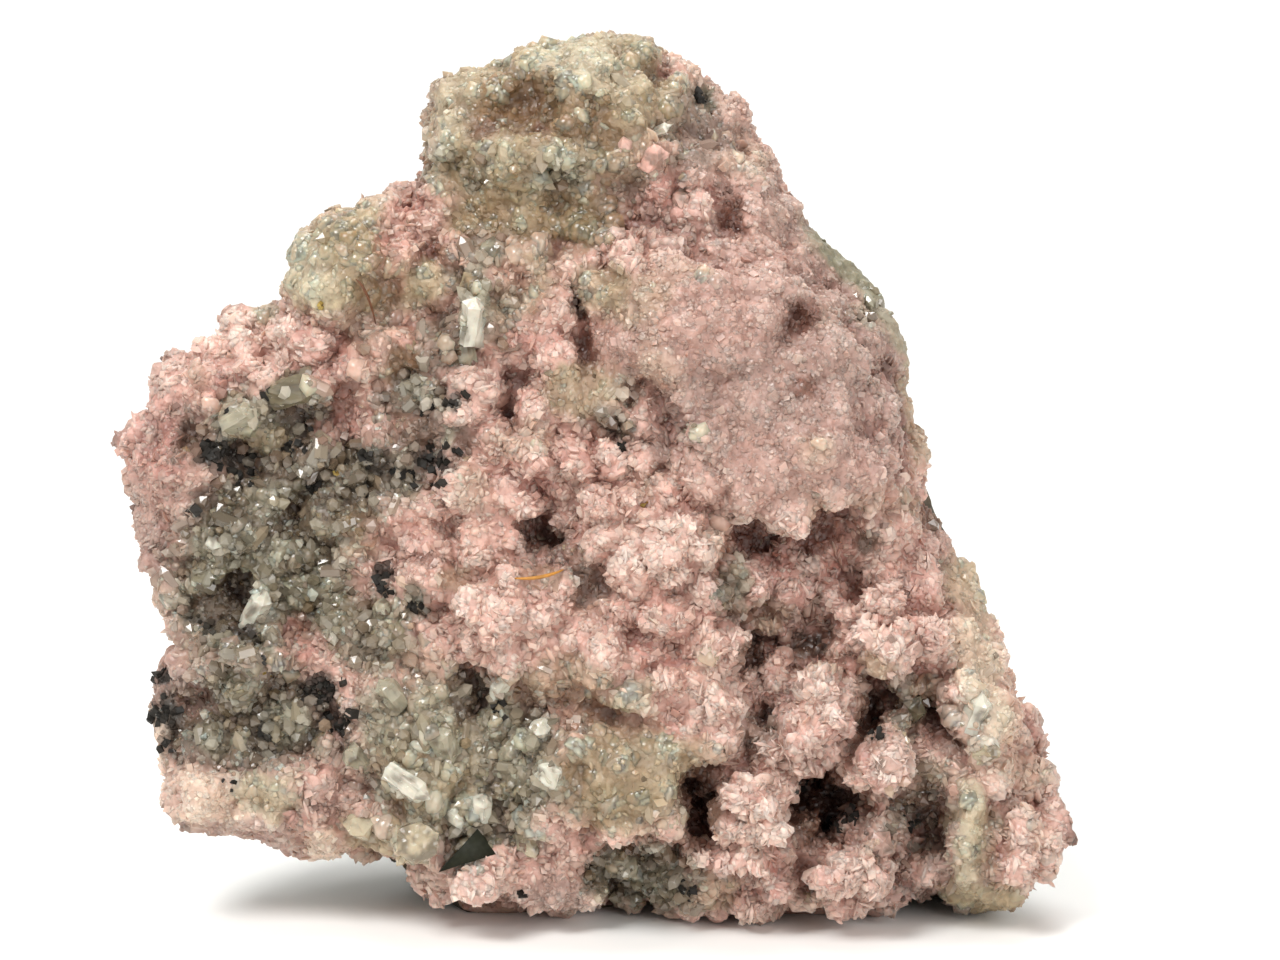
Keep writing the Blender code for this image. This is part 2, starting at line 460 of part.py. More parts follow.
def stone_material():
    mat = bpy.data.materials.new("rhodochrosite_stone")
    mat.use_nodes = True
    bsdf = next(n for n in mat.node_tree.nodes if n.type == "BSDF_PRINCIPLED")
    bsdf.inputs["Base Color"].default_value = (0.62, 0.40, 0.33, 1.0)
    bsdf.inputs["Roughness"].default_value = 0.55
    bsdf.inputs["Metallic"].default_value = 0.0
    return mat


def build():
    clear_scene()
    collection = bpy.data.collections.new("rhodochrosite_specimen")
    bpy.context.scene.collection.children.link(collection)
    face = plate(collection)
    back = rock(collection)
    bm = bmesh.new()
    bm.from_mesh(face.data)
    bm.from_mesh(back.data)
    bpy.data.objects.remove(face, do_unlink=True)
    bpy.data.objects.remove(back, do_unlink=True)
    stone = add_mesh("rhodochrosite_specimen", bm, collection)
    voxel_skin(stone, SKIN_CELL)
    break_flat(stone)
    roughen(stone)
    lean_back(stone)
    hollow_foot(stone)
    voxel_skin(stone, SKIN_CELL)
    thin_out(stone, ROCK_TRIANGLES)
    level_foot(stone, collection)
    crystals(stone, collection)
    tidy(stone)
    centre_on_floor(stone)
    stone.data.materials.clear()
    stone.data.materials.append(stone_material())


build()
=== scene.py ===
"""Looks of the rhodochrosite specimen: crystal crust, quartz, sulfide grains and dark rock."""
import math
from contextlib import contextmanager
from functools import partial

import bmesh
import bpy
import numpy as np
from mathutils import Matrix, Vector
from mathutils.bvhtree import BVHTree


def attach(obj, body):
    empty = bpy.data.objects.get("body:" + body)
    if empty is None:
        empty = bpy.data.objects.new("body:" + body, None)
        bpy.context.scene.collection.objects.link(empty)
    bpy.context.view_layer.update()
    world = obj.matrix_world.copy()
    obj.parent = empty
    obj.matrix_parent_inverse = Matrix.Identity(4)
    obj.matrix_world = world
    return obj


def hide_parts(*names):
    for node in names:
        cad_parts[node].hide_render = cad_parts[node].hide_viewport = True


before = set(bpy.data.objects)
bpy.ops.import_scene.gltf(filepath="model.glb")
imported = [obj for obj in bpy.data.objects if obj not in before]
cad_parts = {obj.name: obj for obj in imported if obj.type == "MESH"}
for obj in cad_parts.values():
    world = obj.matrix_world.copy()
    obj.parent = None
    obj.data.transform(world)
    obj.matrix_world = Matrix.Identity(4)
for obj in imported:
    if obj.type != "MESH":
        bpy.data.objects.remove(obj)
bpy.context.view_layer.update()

MM = 0.001
SEED = 2119
NODE = "rhodochrosite_specimen"

# The crystal face lies in a plane that leans back, with u to the right, w up and d out of it.
LEAN_DEG = 8.0
FACE_ORIGIN = (-0.025, -10.011, 0.0)  # mm, where u = w = d = 0 lies in the frame

# The camera looks square at the face.  PHOTO_* are pixels of the 1280 x 960 photograph.
PHOTO_WIDTH = 1280
PHOTO_CENTRE = (640, 480)
PHOTO_FOOT = (591, 920)               # pixel of u = w = 0
PIXELS_PER_MM = 10.0
LENS = 100.0                          # mm, and the sensor's width
SENSOR = 36.0

WELD = 1e-6                           # m, points of the solid closer than this are one
BROAD_CELL = 0.8                      # mm, skin that takes the broad relief
CRUST_CELL = 0.45                     # mm, skin that takes the fine lumps
ROCK_CELL = 0.6                       # mm, skin of the rock
CRUST_TRIANGLES = 190_000
SLIVER = 0.02                         # mm, edges shorter than this are dissolved
CRUST_BACK = -9.8                     # mm, how far back the crust reaches, and the rock forward
ROCK_FRONT = -2.7
SEAM = (-8.6, -5.6, -3.6)             # mm, depth of the line where they meet: least, mean, most
TINT_LEVEL = 0.77                     # palette colours are as lit; the stone itself is darker
HEAD_SIZE = 4.6                       # mm, rounded heads of the crust and how high they stand
HEAD_HEIGHT = 2.2
GAP_DEPTH = 1.4                       # mm, the gaps between them
LUMP_SIZE = 2.1                       # mm, lumps on the heads, and the fine ones on those
FINE_SIZE = 0.95
ROCK_CHIP = 6.5                       # mm, broad chips of the rock and the small ones on them
SMALL_CHIP = 2.6
BEYOND = 80.0                         # mm, past the specimen whichever way one goes
RAY_START = 60.0                      # mm, well in front of the face
ABOVE_FLOOR = 0.02                    # mm, no crystal reaches lower
WARM_CREASE_SHADE = (170, 96, 84)           # painted shade for the creases in pink stone, and for those in the rest
DULL_CREASE_SHADE = (98, 86, 68)
GLOW_REACH = (1.0, 0.62, 0.5)         # red light goes furthest through the stone
QUARTZ_IOR = 1.54

# Soft lights: name, place in m, height of what they are aimed at, width, power in W.
LIGHTS = [
    ("key", (-0.28, -0.38, 0.55), 0.04, 0.30, 4.0), ("fill", (0.44, -0.60, 0.32), 0.03, 0.50, 3.0),
    ("top", (0.05, 0.10, 0.70), 0.04, 0.45, 2.7),
]
SKY_STRENGTH = 0.38

# Stone materials: slot, roughness from and to, speckle, grain in mm, tilt of the facets, then
# subsurface weight, its reach in mm, bump in mm and other inputs of the shader.
MATERIALS = {
    "crust_stone": ("rhodochrosite", (0.3, 0.55), 0.16, 0.42, 0.5, 0.3, 1.2, 0.12),
    "blade_stone": ("rhodochrosite", (0.25, 0.5), 0.08, 0.5, 0.2, 0.4, 1.2),
    "quartz_stone": ("quartz", (0.08, 0.3), 0.10, 0.7, 0.08, 0.65, 2.4),
    "clear_quartz": ("quartz", (0.03, 0.16), 0.08, 0.9, 0.05, 0.0, 0.1, 0.0,
                     {"Transmission Weight": 0.45, "IOR": QUARTZ_IOR}),
    "sulfide_stone": ("sulfide", (0.5, 0.75), 0.2, 0.4, 0.2, 0.0, 0.1, 0.0,
                      {"Specular IOR Level": 0.25}),
    "brass_stone": ("sulfide", (0.25, 0.4), 0.1, 0.4, 0.2, 0.0, 0.1, 0.0, {"Metallic": 0.9}),
    "fibre_stone": ("matrix_rock", (0.5, 0.7), 0.2, 0.3, 0.1),
    "matrix_stone": ("matrix_rock", (0.6, 0.9), 0.25, 0.5, 0.35, 0.0, 0.1, 0.15),
    "milky_quartz": ("quartz", (0.08, 0.3), 0.10, 0.6, 0.12, 0.4, 1.5, 0.0,
                     {"Transmission Weight": 0.3, "IOR": QUARTZ_IOR}),
}

GRID_CELL = 0.7                       # mm, grid of heights that tells hollows from rises, for the painted shade and light
GRID_LOW = (-52.0, -6.0)              # mm (u, w), its first corner
GRID_SIZE = (150, 140)

# Each kind of stone: colour as lit (sRGB, 0 to 255), what grows there, and how far in mm it
# stands out of the crust or sinks into it. The mauve, wine-red, umber and vug colours and the dark
# red-brown of the pits are laid in hollows, pits, vugs and under ledges, and are partly painted shade
# there.
PALETTE = {
    "petal": ((240, 207, 191), "blade", 0.9), "blush": ((230, 191, 175), "blade", 0.4),
    "rose": ((214, 169, 155), "blade", 0.0), "mauve": ((168, 138, 127), "blade", -0.5),
    "dusty": ((186, 154, 141), "sugar", 0.0), "wine": ((176, 118, 104), "blade", -0.9),
    "salmon": ((240, 210, 188), "sugar", 0.2), "shell": ((204, 166, 152), "sugar", 0.2),
    "moss": ((102, 90, 71), "quartz", -0.5), "red_brown": ((122, 76, 61), "bare", -0.2),
    "ivory": ((232, 226, 208), "quartz", 0.6), "cream": ((206, 191, 162), "massive", 0.6),
    "sand": ((180, 159, 127), "massive", 0.1), "tan": ((158, 136, 102), "massive", -0.2),
    "stain": ((134, 103, 71), "massive", -0.7), "pale": ((180, 172, 149), "quartz", 0.4),
    "grey": ((134, 124, 100), "quartz", 0.0), "olive": ((118, 111, 90), "quartz", -0.5),
    "smoke": ((114, 100, 84), "quartz", -0.3), "veil": ((150, 127, 113), "massive", -0.3),
    "umber": ((92, 73, 58), "bare", -0.1), "pitch": ((56, 51, 45), "sulfide", -0.3),
    "vug": ((122, 90, 74), "bare", 0.2), "green": ((142, 134, 110), "rock", 0.0),
    "rock": ((86, 77, 62), "rock", 0.0), "rock_dark": ((46, 40, 33), "rock", 0.0),
}
KINDS = ("blade", "sugar", "massive", "quartz", "sulfide", "bare", "rock")

# Smaller ledges and recesses added to those of the solid: u, w, half width, half height, rise in
# mm, softness of the edge where it isn't 0.6 (1 is soft all over, 0 a cliff), turn in degrees.
LEDGES = [
    (4.6, 5.2, 6.5, 3.6, -0.6, 0.5), (28.4, 29.2, 4.8, 3.8, 1.2, 0.5), (22.6, 20.6, 4.2, 6.0, 1.2, 0.5),
    (16, 12, 3.1, 4.4, 0.8, 0.5, -10), (25.4, 4.0, 3.8, 3.2, 0.7, 0.5), (28.3, 16.8, 2.6, 3.0, 1.2),
    (31.8, 11, 3.2, 5.5, -1.0), (-7.8, 80.6, 5.6, 3.0, -1.4, 0.6, 5), (-3, 74, 6, 2.6, 0.8),
    (9.5, 67.8, 5.0, 2.8, 1.8, 0.6, 10), (9.3, 47.8, 3.2, 4.0, 2.6), (2.4, 49.2, 3.4, 2.2, 1.2, 0.6, -20),
    (-7.6, 53.8, 2.9, 2.0, 1.4), (-4.2, 38.6, 3.8, 3.6, 1.6, 0.6, 30), (17.2, 33.0, 4.4, 4.8, 2.2, 0.5),
    (-4.6, 58.4, 4.2, 3.8, 0.7, 0.5), (38.6, 23, 3.0, 6.5, 0.8, 0.5, 10), (-16, 10, 5, 3.5, 0.8, 0.6, -20),
    (-23.5, 65, 8, 7, 0.8, 0.5, 25), (25.2, 14.4, 1.5, 1.6, 2.0, 0.6, 20), (19.9, 9.2, 1.5, 1.7, 2.2),
    (22.4, 12.6, 1.1, 1.6, 2.4, 0.6, 15), (11.9, 14.6, 1.2, 1.1, 1.8, 0.6, 20), (28.2, 22.6, 1.1, 1.4, 2.2),
]

# Patches of the face, laid one over another: stone, u, w, half width, half height, share of the
# ground it covers where that isn't all of it, turn in degrees.
PATCHES = [
    ("blush", 2, 36, 60, 60),
    # table and upper right
    ("dusty", 20, 54, 17, 16), ("shell", 12, 61.5, 12, 7, 1.0, 15), ("shell", 18, 44.6, 8, 5, 0.8),
    ("dusty", 24, 61, 7, 6, 0.8), ("shell", 27, 47, 7, 5, 0.6), ("red_brown", 20.4, 59, 2.1, 2.3, 0.9, -25),
    ("red_brown", 20.5, 52.7, 1.7, 1.4, 0.8), ("shell", 5.5, 57, 6.5, 6), ("dusty", 13.5, 52, 6, 4, 0.6),
    ("sand", 4, 61.5, 5, 3.4, 0.5), ("mauve", 29, 50, 4, 9, 0.5), ("stain", 29, 41.8, 5, 2.2, 0.35),
    ("sand", 32.8, 52, 1.8, 9, 0.6, 4), ("shell", 15.5, 76, 6, 11, 0.9, 32),
    ("dusty", 20.8, 70, 3.6, 9, 0.9, 32), ("green", 26, 66, 8.0, 3.0, 1.0, -44),
    ("green", 31.5, 58.6, 4.5, 2.0, 0.8, -60), ("rock", 29, 65.8, 5.0, 1.2, 0.7, -42),
    ("pale", 28, 61.2, 2.6, 2.4, 0.5), ("veil", 9.6, 78.4, 5.4, 5.6, 0.9),
    ("olive", 11.5, 81.8, 1.6, 1.5, 0.9), ("pitch", 11.4, 81.6, 0.8, 0.7, 0.9),
    ("mauve", 5, 71.6, 4.6, 4, 0.8), ("umber", 4.5, 72.6, 2.2, 2, 0.6), ("rose", 9.2, 71.3, 4.4, 2.2, 0.8),
    ("mauve", 9.5, 67.8, 5.6, 2.4, 0.7), ("red_brown", 13.6, 69.4, 1.9, 3.0, 0.95, -15),
    ("red_brown", 13.2, 73.2, 1.1, 1.7, 0.5), ("rose", 6.2, 76.2, 2.4, 2.8, 0.9),
    # top lobe
    ("sand", -4, 80, 15, 11, 1.0, 5), ("cream", 0.5, 85, 7, 4.4, 0.8), ("cream", -13, 79.5, 3.4, 6, 0.5),
    ("sand", 6, 84.6, 4.6, 4.4, 0.8), ("rose", 9, 85.2, 3, 2.4, 0.7),
    ("stain", -7.6, 81.4, 6, 3.2, 0.95, 8), ("stain", -9.4, 78.6, 4.4, 2.2, 0.85),
    ("red_brown", -10, 77.9, 1.8, 1.5, 0.7), ("stain", -2.6, 79.4, 5.4, 2.8, 0.8),
    ("red_brown", -4.2, 76.8, 1.1, 1.9, 0.7), ("red_brown", -7.9, 77.0, 0.9, 1.2, 0.5),
    ("stain", 1.8, 77.6, 3.2, 2.8, 0.7), ("sand", -8, 74.4, 9.4, 3.8), ("pale", -3, 73.4, 3.8, 3, 0.7),
    ("cream", -8.6, 75.3, 2, 1.6, 0.7), ("olive", -11.4, 74, 1.5, 2.8, 0.6, 35),
    # the broad tan band at w 70 is partly painted shadow under the top lobe
    ("tan", -13.6, 74.4, 3.2, 3, 0.5), ("pale", -15, 75.2, 2, 2.2, 0.5), ("tan", -6, 70, 11.5, 3.4, 0.95),
    ("stain", -1.6, 69, 4.4, 2.8, 0.75), ("stain", -4, 66.6, 5.4, 2, 0.5),
    # crust of the upper left
    ("sand", -22.5, 65.5, 9, 8, 1.0, 25), ("cream", -28.4, 65, 3.2, 4.8, 0.8, 20),
    ("cream", -27, 62.6, 3.4, 2.2, 0.7), ("tan", -22, 67.6, 4.4, 2.8, 0.5),
    ("rose", -17.6, 69.4, 3.6, 3, 0.8), ("wine", -17, 71.1, 2, 1.4, 0.6),
    ("wine", -19.4, 64.6, 1.6, 4.4, 0.5, -10), ("rose", -17.6, 66.4, 2.6, 2, 0.6),
    ("sand", -15.6, 63, 3.8, 2.8, 0.9), ("red_brown", -15.4, 66.3, 2.4, 1.4, 0.95, 20),
    ("stain", -21, 61.2, 2.4, 3, 0.7), ("umber", -21, 60.3, 1.5, 1.3, 0.4),
    ("red_brown", -14.4, 60.4, 1.9, 2.5, 0.7), ("umber", -13, 63.6, 1.2, 2.2, 0.7, 20),
    ("stain", -12.4, 66.2, 2.8, 1.8, 0.5), ("sand", -7.8, 63, 5.4, 4.4, 0.8),
    ("rose", -8.6, 63.6, 3.4, 3.2, 0.5), ("grey", -8.8, 59.4, 3.4, 3.6, 0.6),
    ("pale", -11.2, 61, 1.6, 5, 0.9, -6), ("pale", -9.8, 66.3, 2.6, 1.8, 0.6),
    ("rose", -17.8, 57.8, 2.8, 2.2), ("mauve", -23, 59, 4.4, 2.2, 0.5), ("rose", -24.5, 56, 4.6, 3, 0.8),
    # pink lobe of the upper left, mauve lobe below it
    ("blush", -34, 56, 10, 5.6, 1.0, 15), ("petal", -35, 58.6, 4, 2, 0.7, 20),
    ("petal", -30, 58, 3.4, 2.6, 0.6), ("rose", -37, 53.5, 5, 3, 0.9),
    ("wine", -28.2, 58.4, 1.2, 2.2, 0.5, -20), ("cream", -32.2, 60.8, 1.8, 1.3, 0.8),
    ("rose", -44, 47, 4.6, 8), ("mauve", -42.4, 48, 2.8, 4, 0.6), ("wine", -40.6, 47, 2.2, 4.4, 0.5),
    ("umber", -39.6, 48, 1.4, 3.4, 0.7, -20), ("dusty", -44.6, 38, 3, 8.6, 0.9),
    ("mauve", -43, 36, 2.4, 5.4, 0.6),
    # black-spotted band
    ("smoke", -27, 46.4, 13.5, 7.4, 0.95, -6), ("pale", -33.6, 50.3, 3.6, 2.5, 0.8),
    ("sand", -32.4, 48, 3.4, 1.8, 0.8), ("pitch", -37, 46.6, 1.7, 1.4, 0.95),
    ("pitch", -35, 45, 2.4, 1.2, 0.85, -30), ("umber", -31, 43.4, 5, 3, 0.8),
    ("umber", -28.4, 47, 1.6, 1.9, 0.85), ("grey", -28.2, 52.8, 3.2, 1.8, 0.9, -8),
    ("umber", -29, 50.6, 3, 1.0, 0.75), ("rose", -24.5, 49, 3.4, 1.5, 0.7),
    ("red_brown", -24, 51.8, 2.2, 2.3, 0.95), ("rose", -20, 50, 5, 2.6, 0.8), ("mauve", -18, 48, 4.6, 1.7, 0.5),
    ("stain", -18, 54.6, 3, 3, 0.9), ("umber", -17.6, 53.5, 1.9, 1.6, 0.6),
    ("olive", -17, 52, 2.6, 1.2, 0.6), ("smoke", -20, 43.6, 4.6, 1.6, 0.7),
    ("pitch", -20.6, 45.6, 1.7, 1.4, 0.75), ("pitch", -15.2, 45.7, 3.2, 1.4, 0.9, -8),
    ("umber", -12.4, 48, 1.8, 2.5, 0.7), ("pitch", -13, 51.6, 0.7, 1.2, 0.9),
    ("mauve", -14.5, 54.2, 2.2, 3, 0.5), ("umber", -15.5, 48.4, 4.2, 1.5, 0.75, 10),
    ("moss", -17, 51.6, 4.5, 2.6, 0.75), ("moss", -14, 57, 3.6, 3.4, 0.7),
    ("umber", -19.6, 52.4, 1.8, 1.2, 0.6, 20), ("pale", -13.6, 48.4, 1.1, 1.4, 0.7),
    # grey quartz of the left side and its slot
    ("grey", -32, 33.6, 11.5, 10), ("moss", -31, 40, 11, 5, 0.85, 5), ("umber", -25, 41.6, 3, 1.6, 0.6),
    ("umber", -37.5, 41.6, 2.6, 1.6, 0.6, -20), ("umber", -29.6, 39.2, 1.6, 1.1, 0.5),
    ("pale", -37, 38, 2.5, 2.1, 0.7), ("umber", -36, 32.2, 4.4, 2.0, 0.9, 8),
    ("umber", -34.6, 29.9, 3.8, 1.3, 0.9, -8), ("pitch", -37.6, 29.9, 2.1, 0.8, 0.8, -15),
    ("pitch", -34, 28.8, 2.0, 0.7, 0.7), ("ivory", -32.4, 32, 2.0, 2.2, 0.8),
    ("pale", -31, 28.6, 1.6, 2.1, 0.9), ("rose", -28, 28.6, 3.6, 2.7, 0.85),
    ("rose", -27, 26.8, 2.5, 1.5, 0.6), ("tan", -22, 39, 4, 3.4, 0.6), ("rose", -18.6, 38.2, 3, 3, 0.7),
    ("red_brown", -16.5, 36.6, 1.8, 1.2, 0.5), ("olive", -26, 35, 1.2, 2.9, 0.5), ("grey", -21, 29, 5, 5, 0.85),
    ("grey", -25, 31.4, 2.8, 2.8, 0.8), ("pitch", -19.9, 34.8, 1.1, 1.9, 0.85),
    ("olive", -17.2, 31.8, 1.8, 2.5, 0.85), ("pitch", -16.9, 31.8, 0.9, 1.3, 0.5),
    # lower left
    ("smoke", -34, 20.6, 11, 6.6, 0.95), ("mauve", -38.8, 22.6, 3.6, 2.6, 0.55),
    ("grey", -35.6, 23.2, 2.8, 2.4, 0.7), ("pitch", -42.2, 20.3, 1.9, 2.3, 0.9),
    ("pitch", -42.3, 24.3, 0.8, 1.2, 0.9), ("umber", -39.4, 19.4, 2.8, 1.8, 0.6),
    ("pitch", -42.2, 17.2, 0.9, 0.8, 0.7), ("pitch", -26.8, 23.4, 2.5, 1.7, 0.9, 20),
    ("pitch", -24.6, 20.6, 1.3, 2.5, 0.85, 25), ("umber", -23.6, 17.6, 1.6, 1.8, 0.8),
    ("olive", -30.6, 20, 3.6, 2.8, 0.6), ("pitch", -31.8, 18.8, 1.1, 0.9, 0.8),
    ("pale", -36.8, 18.4, 2.1, 1.9, 0.7), ("olive", -28, 17.8, 3.4, 2.2, 0.5),
    ("salmon", -37.6, 12.6, 8.6, 3.8, 1.0, -10), ("salmon", -43, 16, 1.8, 5, 0.9),
    ("petal", -41.5, 13.4, 2.8, 3.2, 0.5), ("cream", -31.4, 13.2, 4, 2.6, 0.8),
    ("sand", -31.4, 13, 3.4, 2.3, 0.4), ("dusty", -33, 9.4, 5.4, 1.5, 0.7),
    ("wine", -29, 10.3, 2.0, 1.0, 0.6), ("dusty", -24.6, 13, 3.8, 2.9, 0.6),
    # cream and grey quartz field
    ("grey", -12.5, 17, 12.5, 10, 0.95), ("cream", -12.5, 17, 12, 9, 0.45),
    ("sand", -17, 17, 5.4, 6.4, 0.6), ("cream", -12, 12, 4, 3, 0.4), ("pale", -20.6, 21, 2.7, 3.9, 0.7),
    ("pale", -16, 21, 3.4, 2.4, 0.5), ("smoke", -8, 17.6, 4, 4.4, 0.6),
    ("umber", -11.2, 23, 2.2, 3, 0.8, -15), ("salmon", -26.4, 7.6, 2.6, 1.8, 0.9),
    ("sand", -21.5, 8.6, 3.2, 2.6, 0.9), ("cream", -17.2, 8.8, 3.2, 2.7),
    ("ivory", -18, 14.6, 2.7, 1.2, 0.8, -35), ("cream", -14.8, 12.4, 2.8, 1.4, 0.6, -30),
    ("pale", -5.4, 19.4, 2, 1.8, 0.9), ("ivory", -3.7, 15.8, 1.9, 1.8),
    ("ivory", -10.6, 11.8, 1.3, 1.4, 0.7), ("stain", -16.5, 17.2, 2.1, 1.1, 0.5),
    ("stain", -19, 12.6, 1.9, 1.2, 0.5), ("olive", -6, 13, 2.6, 2.4, 0.6), ("pale", -6.4, 9.2, 3, 1.8, 0.8),
    ("olive", -11.6, 8.0, 3.0, 1.8, 0.9, 32), ("tan", -12, 14.2, 2.4, 2.2, 0.4),
    # cream shelf, recess below it whose grey and olive are partly painted shadow, lumps of the lower edge
    ("sand", 3.8, 15.4, 9.4, 6.6, 0.95), ("tan", 2.5, 12.6, 5.6, 3.2, 0.7),
    ("cream", 6, 18.2, 3.4, 1.6, 0.5), ("dusty", 9.2, 13, 2, 2.8, 0.4),
    ("stain", -1.5, 15.5, 1.6, 3, 0.6, 15), ("tan", 11, 17.6, 3, 2, 0.6), ("grey", 4.6, 5.0, 6.8, 4.5),
    ("olive", 3.6, 5.4, 4.4, 2.6, 0.6), ("smoke", 8.6, 4.8, 2.8, 3.2, 0.6), ("tan", 12.4, 4, 2.6, 2.8, 0.6),
    ("grey", 8.8, 2.2, 2.9, 1.9, 0.7), ("umber", 1, 3.8, 1.9, 1.5, 0.7),
    ("petal", -12, 4.2, 6.4, 2.6, 1.0, -4), ("blush", -9, 3.2, 3.4, 1.7, 0.5), ("dusty", -3.2, 3, 3.2, 2.8),
    ("mauve", -6.6, 2.6, 1.2, 1.1, 0.6),
    # bladed pink mass of the middle
    ("petal", 7.2, 38.5, 6.4, 4.2, 0.85), ("petal", -9.5, 33, 3.6, 2.0, 0.5),
    ("petal", -7, 28.6, 3.6, 1.8, 0.4), ("petal", -13.4, 41.6, 3.6, 2.2, 0.6),
    ("rose", -6, 46, 5.6, 4.6, 0.8), ("petal", -6.4, 47.6, 2.1, 2.3, 0.5),
    ("petal", -1.4, 43.5, 2.1, 2.5, 0.6), ("wine", -4.6, 43.5, 1.4, 2.3, 0.5),
    ("wine", 1.2, 44, 1.8, 2.8, 0.4), ("smoke", -2, 36, 2.3, 2.8, 0.5),
    ("mauve", -4.3, 38, 3.4, 3.4, 0.9, 25), ("umber", -3.4, 38.5, 2.2, 1.9, 0.5),
    ("stain", -5, 34.9, 3, 1.2, 0.6, -8), ("umber", -0.2, 33.8, 2.0, 2.6, 0.7),
    ("tan", -13, 34.8, 2.6, 1.6, 0.6), ("wine", 5, 27.4, 1.6, 3.4, 0.7, 20),
    ("wine", 8.4, 26.6, 2.0, 2.7, 0.5), ("rose", 6.6, 31.5, 2.7, 2.3, 0.5), ("tan", -2, 24.4, 5.2, 3, 0.65),
    ("stain", 1.2, 21.8, 3.4, 2.0, 0.75, 10), ("cream", 4.4, 23, 2.5, 1.9, 0.7),
    ("petal", 12, 23, 3.4, 4, 0.7), ("wine", 8.2, 21, 1.8, 2.2, 0.5),
    # above the middle
    ("sand", -1, 52.6, 4.6, 3.8, 0.85), ("rose", -4.6, 58.4, 4, 3.8, 0.7), ("sand", 1, 63, 3.5, 2.8, 0.8),
    ("blush", 3, 66.4, 3.8, 2.4, 0.6), ("tan", -2, 68.6, 3.8, 2.4, 0.6),
    ("mauve", -7.6, 53.8, 2.7, 1.7, 0.8), ("red_brown", -8.2, 50.6, 1.3, 2.4, 0.75),
    ("red_brown", -0.4, 57, 1.4, 2.5, 0.85), ("umber", -1.0, 61.3, 1.2, 1.3, 0.85),
    ("smoke", 2.2, 49.4, 3, 1.6, 0.8, -20), ("mauve", 8, 48.3, 2.7, 3.9, 0.7),
    ("umber", 7, 45.6, 1.6, 1.9, 0.4), ("pale", 9.4, 48.8, 1.0, 0.9, 0.7),
    ("grey", 3.5, 52.5, 2.3, 2.1, 0.4),
    # crusted step and pits under the table, the mauve over the step partly painted shade under the table
    ("mauve", 18, 33.6, 7, 6.6, 0.85), ("rose", 18, 33.6, 4.2, 4.4, 0.8), ("grey", 14, 33.4, 1.8, 3.8, 0.7),
    ("sand", 17.4, 30.8, 3.2, 1.9, 0.5), ("rose", 23.5, 34, 3, 3.4, 0.8),
    ("red_brown", 16.2, 38, 2.5, 1.7, 0.9, -25), ("red_brown", 22.8, 38.5, 2.3, 2.0, 0.95),
    ("umber", 27.4, 37.8, 2.1, 1.5, 0.8), ("red_brown", 27.4, 33.9, 2.6, 1.2, 0.8, -8),
    ("vug", 16.1, 27, 2.0, 1.8, 0.95), ("umber", 21.3, 27.6, 3.2, 2.2, 0.95, 12),
    ("vug", 20.6, 28, 1.8, 1.1, 0.5), ("blush", 28.4, 29.2, 5, 4), ("petal", 27.6, 28.6, 3.2, 2.6, 0.8),
    ("rose", 32.6, 34.6, 4.4, 5, 0.9), ("dusty", 35.8, 38, 2.8, 5.4, 0.7, 25),
    ("stain", 33, 41, 3.4, 1.8, 0.5, -20), ("sand", 37.8, 33, 2.8, 5.2, 0.85, 22),
    ("stain", 37, 30, 2.3, 1.8, 0.5), ("tan", 27.6, 26, 2.4, 1.2, 0.7),
    # lower right
    ("rose", 22.6, 20.6, 4.8, 6.6), ("petal", 22, 22.3, 2.8, 3.4, 0.8), ("mauve", 18, 23, 2.9, 3.4, 0.6),
    ("umber", 17.2, 20, 3, 1.9, 0.85, 15), ("umber", 15, 18, 2.3, 1.7, 0.4),
    ("smoke", 30.6, 22, 2.5, 4.4, 0.7), ("grey", 31.6, 21.5, 1.9, 2.7, 0.6),
    ("vug", 27.3, 20.8, 1.7, 3.8, 0.95), ("rose", 32, 26, 3.4, 1.8, 0.6),
    ("red_brown", 33.9, 19.4, 1.8, 2.0, 0.8), ("tan", 33, 23.6, 1.9, 1.7, 0.7),
    ("umber", 35.6, 17.6, 1.6, 1.6, 0.6), ("cream", 38.6, 23.4, 3.1, 6.2, 1.0, 10),
    ("ivory", 37.4, 21.6, 2.0, 2.5, 0.6), ("ivory", 38.6, 18, 1.4, 1.4, 0.6),
    ("sand", 37.6, 28, 3.6, 3.4, 0.8), ("rose", 41, 15, 4.4, 3.8), ("wine", 42.4, 20.5, 1.4, 6.4, 0.9, 22),
    ("wine", 43.6, 13.4, 1.4, 3.3, 0.85, -18), ("petal", 38.6, 14.4, 2.3, 1.6, 0.4),
    ("salmon", 39, 23, 4.5, 14, 0.5, 14), ("blush", 43, 13, 4, 10, 0.45),
    ("blush", 45.6, 13.5, 1.8, 3, 0.8), ("blush", 43.2, 7.2, 4.6, 5.2), ("petal", 44, 7.4, 2.7, 2.7, 0.5),
    ("cream", 37, 9.4, 2.2, 6.8, 0.95, 3), ("sand", 39, 9, 1.8, 4.4, 0.6), ("sand", 39, 2.6, 5, 2.5),
    ("tan", 36, 3.6, 1.9, 1.8, 0.6), ("smoke", 31.8, 11, 3.6, 7, 0.95), ("dusty", 30, 14.5, 1.9, 2.5, 0.6),
    ("grey", 32.6, 15, 2.1, 2.5, 0.5), ("rose", 31.4, 8, 2.7, 3.3, 0.5),
    ("pitch", 32.6, 11.2, 0.9, 0.9, 0.7), ("umber", 34.8, 10.6, 0.8, 2.8, 0.5),
    ("rose", 28.3, 16.8, 2.8, 3.3), ("petal", 28.6, 17.2, 1.9, 1.9, 0.8),
    ("cream", 34.2, 15.4, 1.6, 1.6, 0.5), ("petal", 24, 14, 14, 14, 0.18),
    ("vug", 27.3, 20.8, 1.7, 3.8, 0.6), ("vug", 22.2, 11.8, 3.8, 4.6), ("umber", 25, 12.8, 2.2, 2, 0.6),
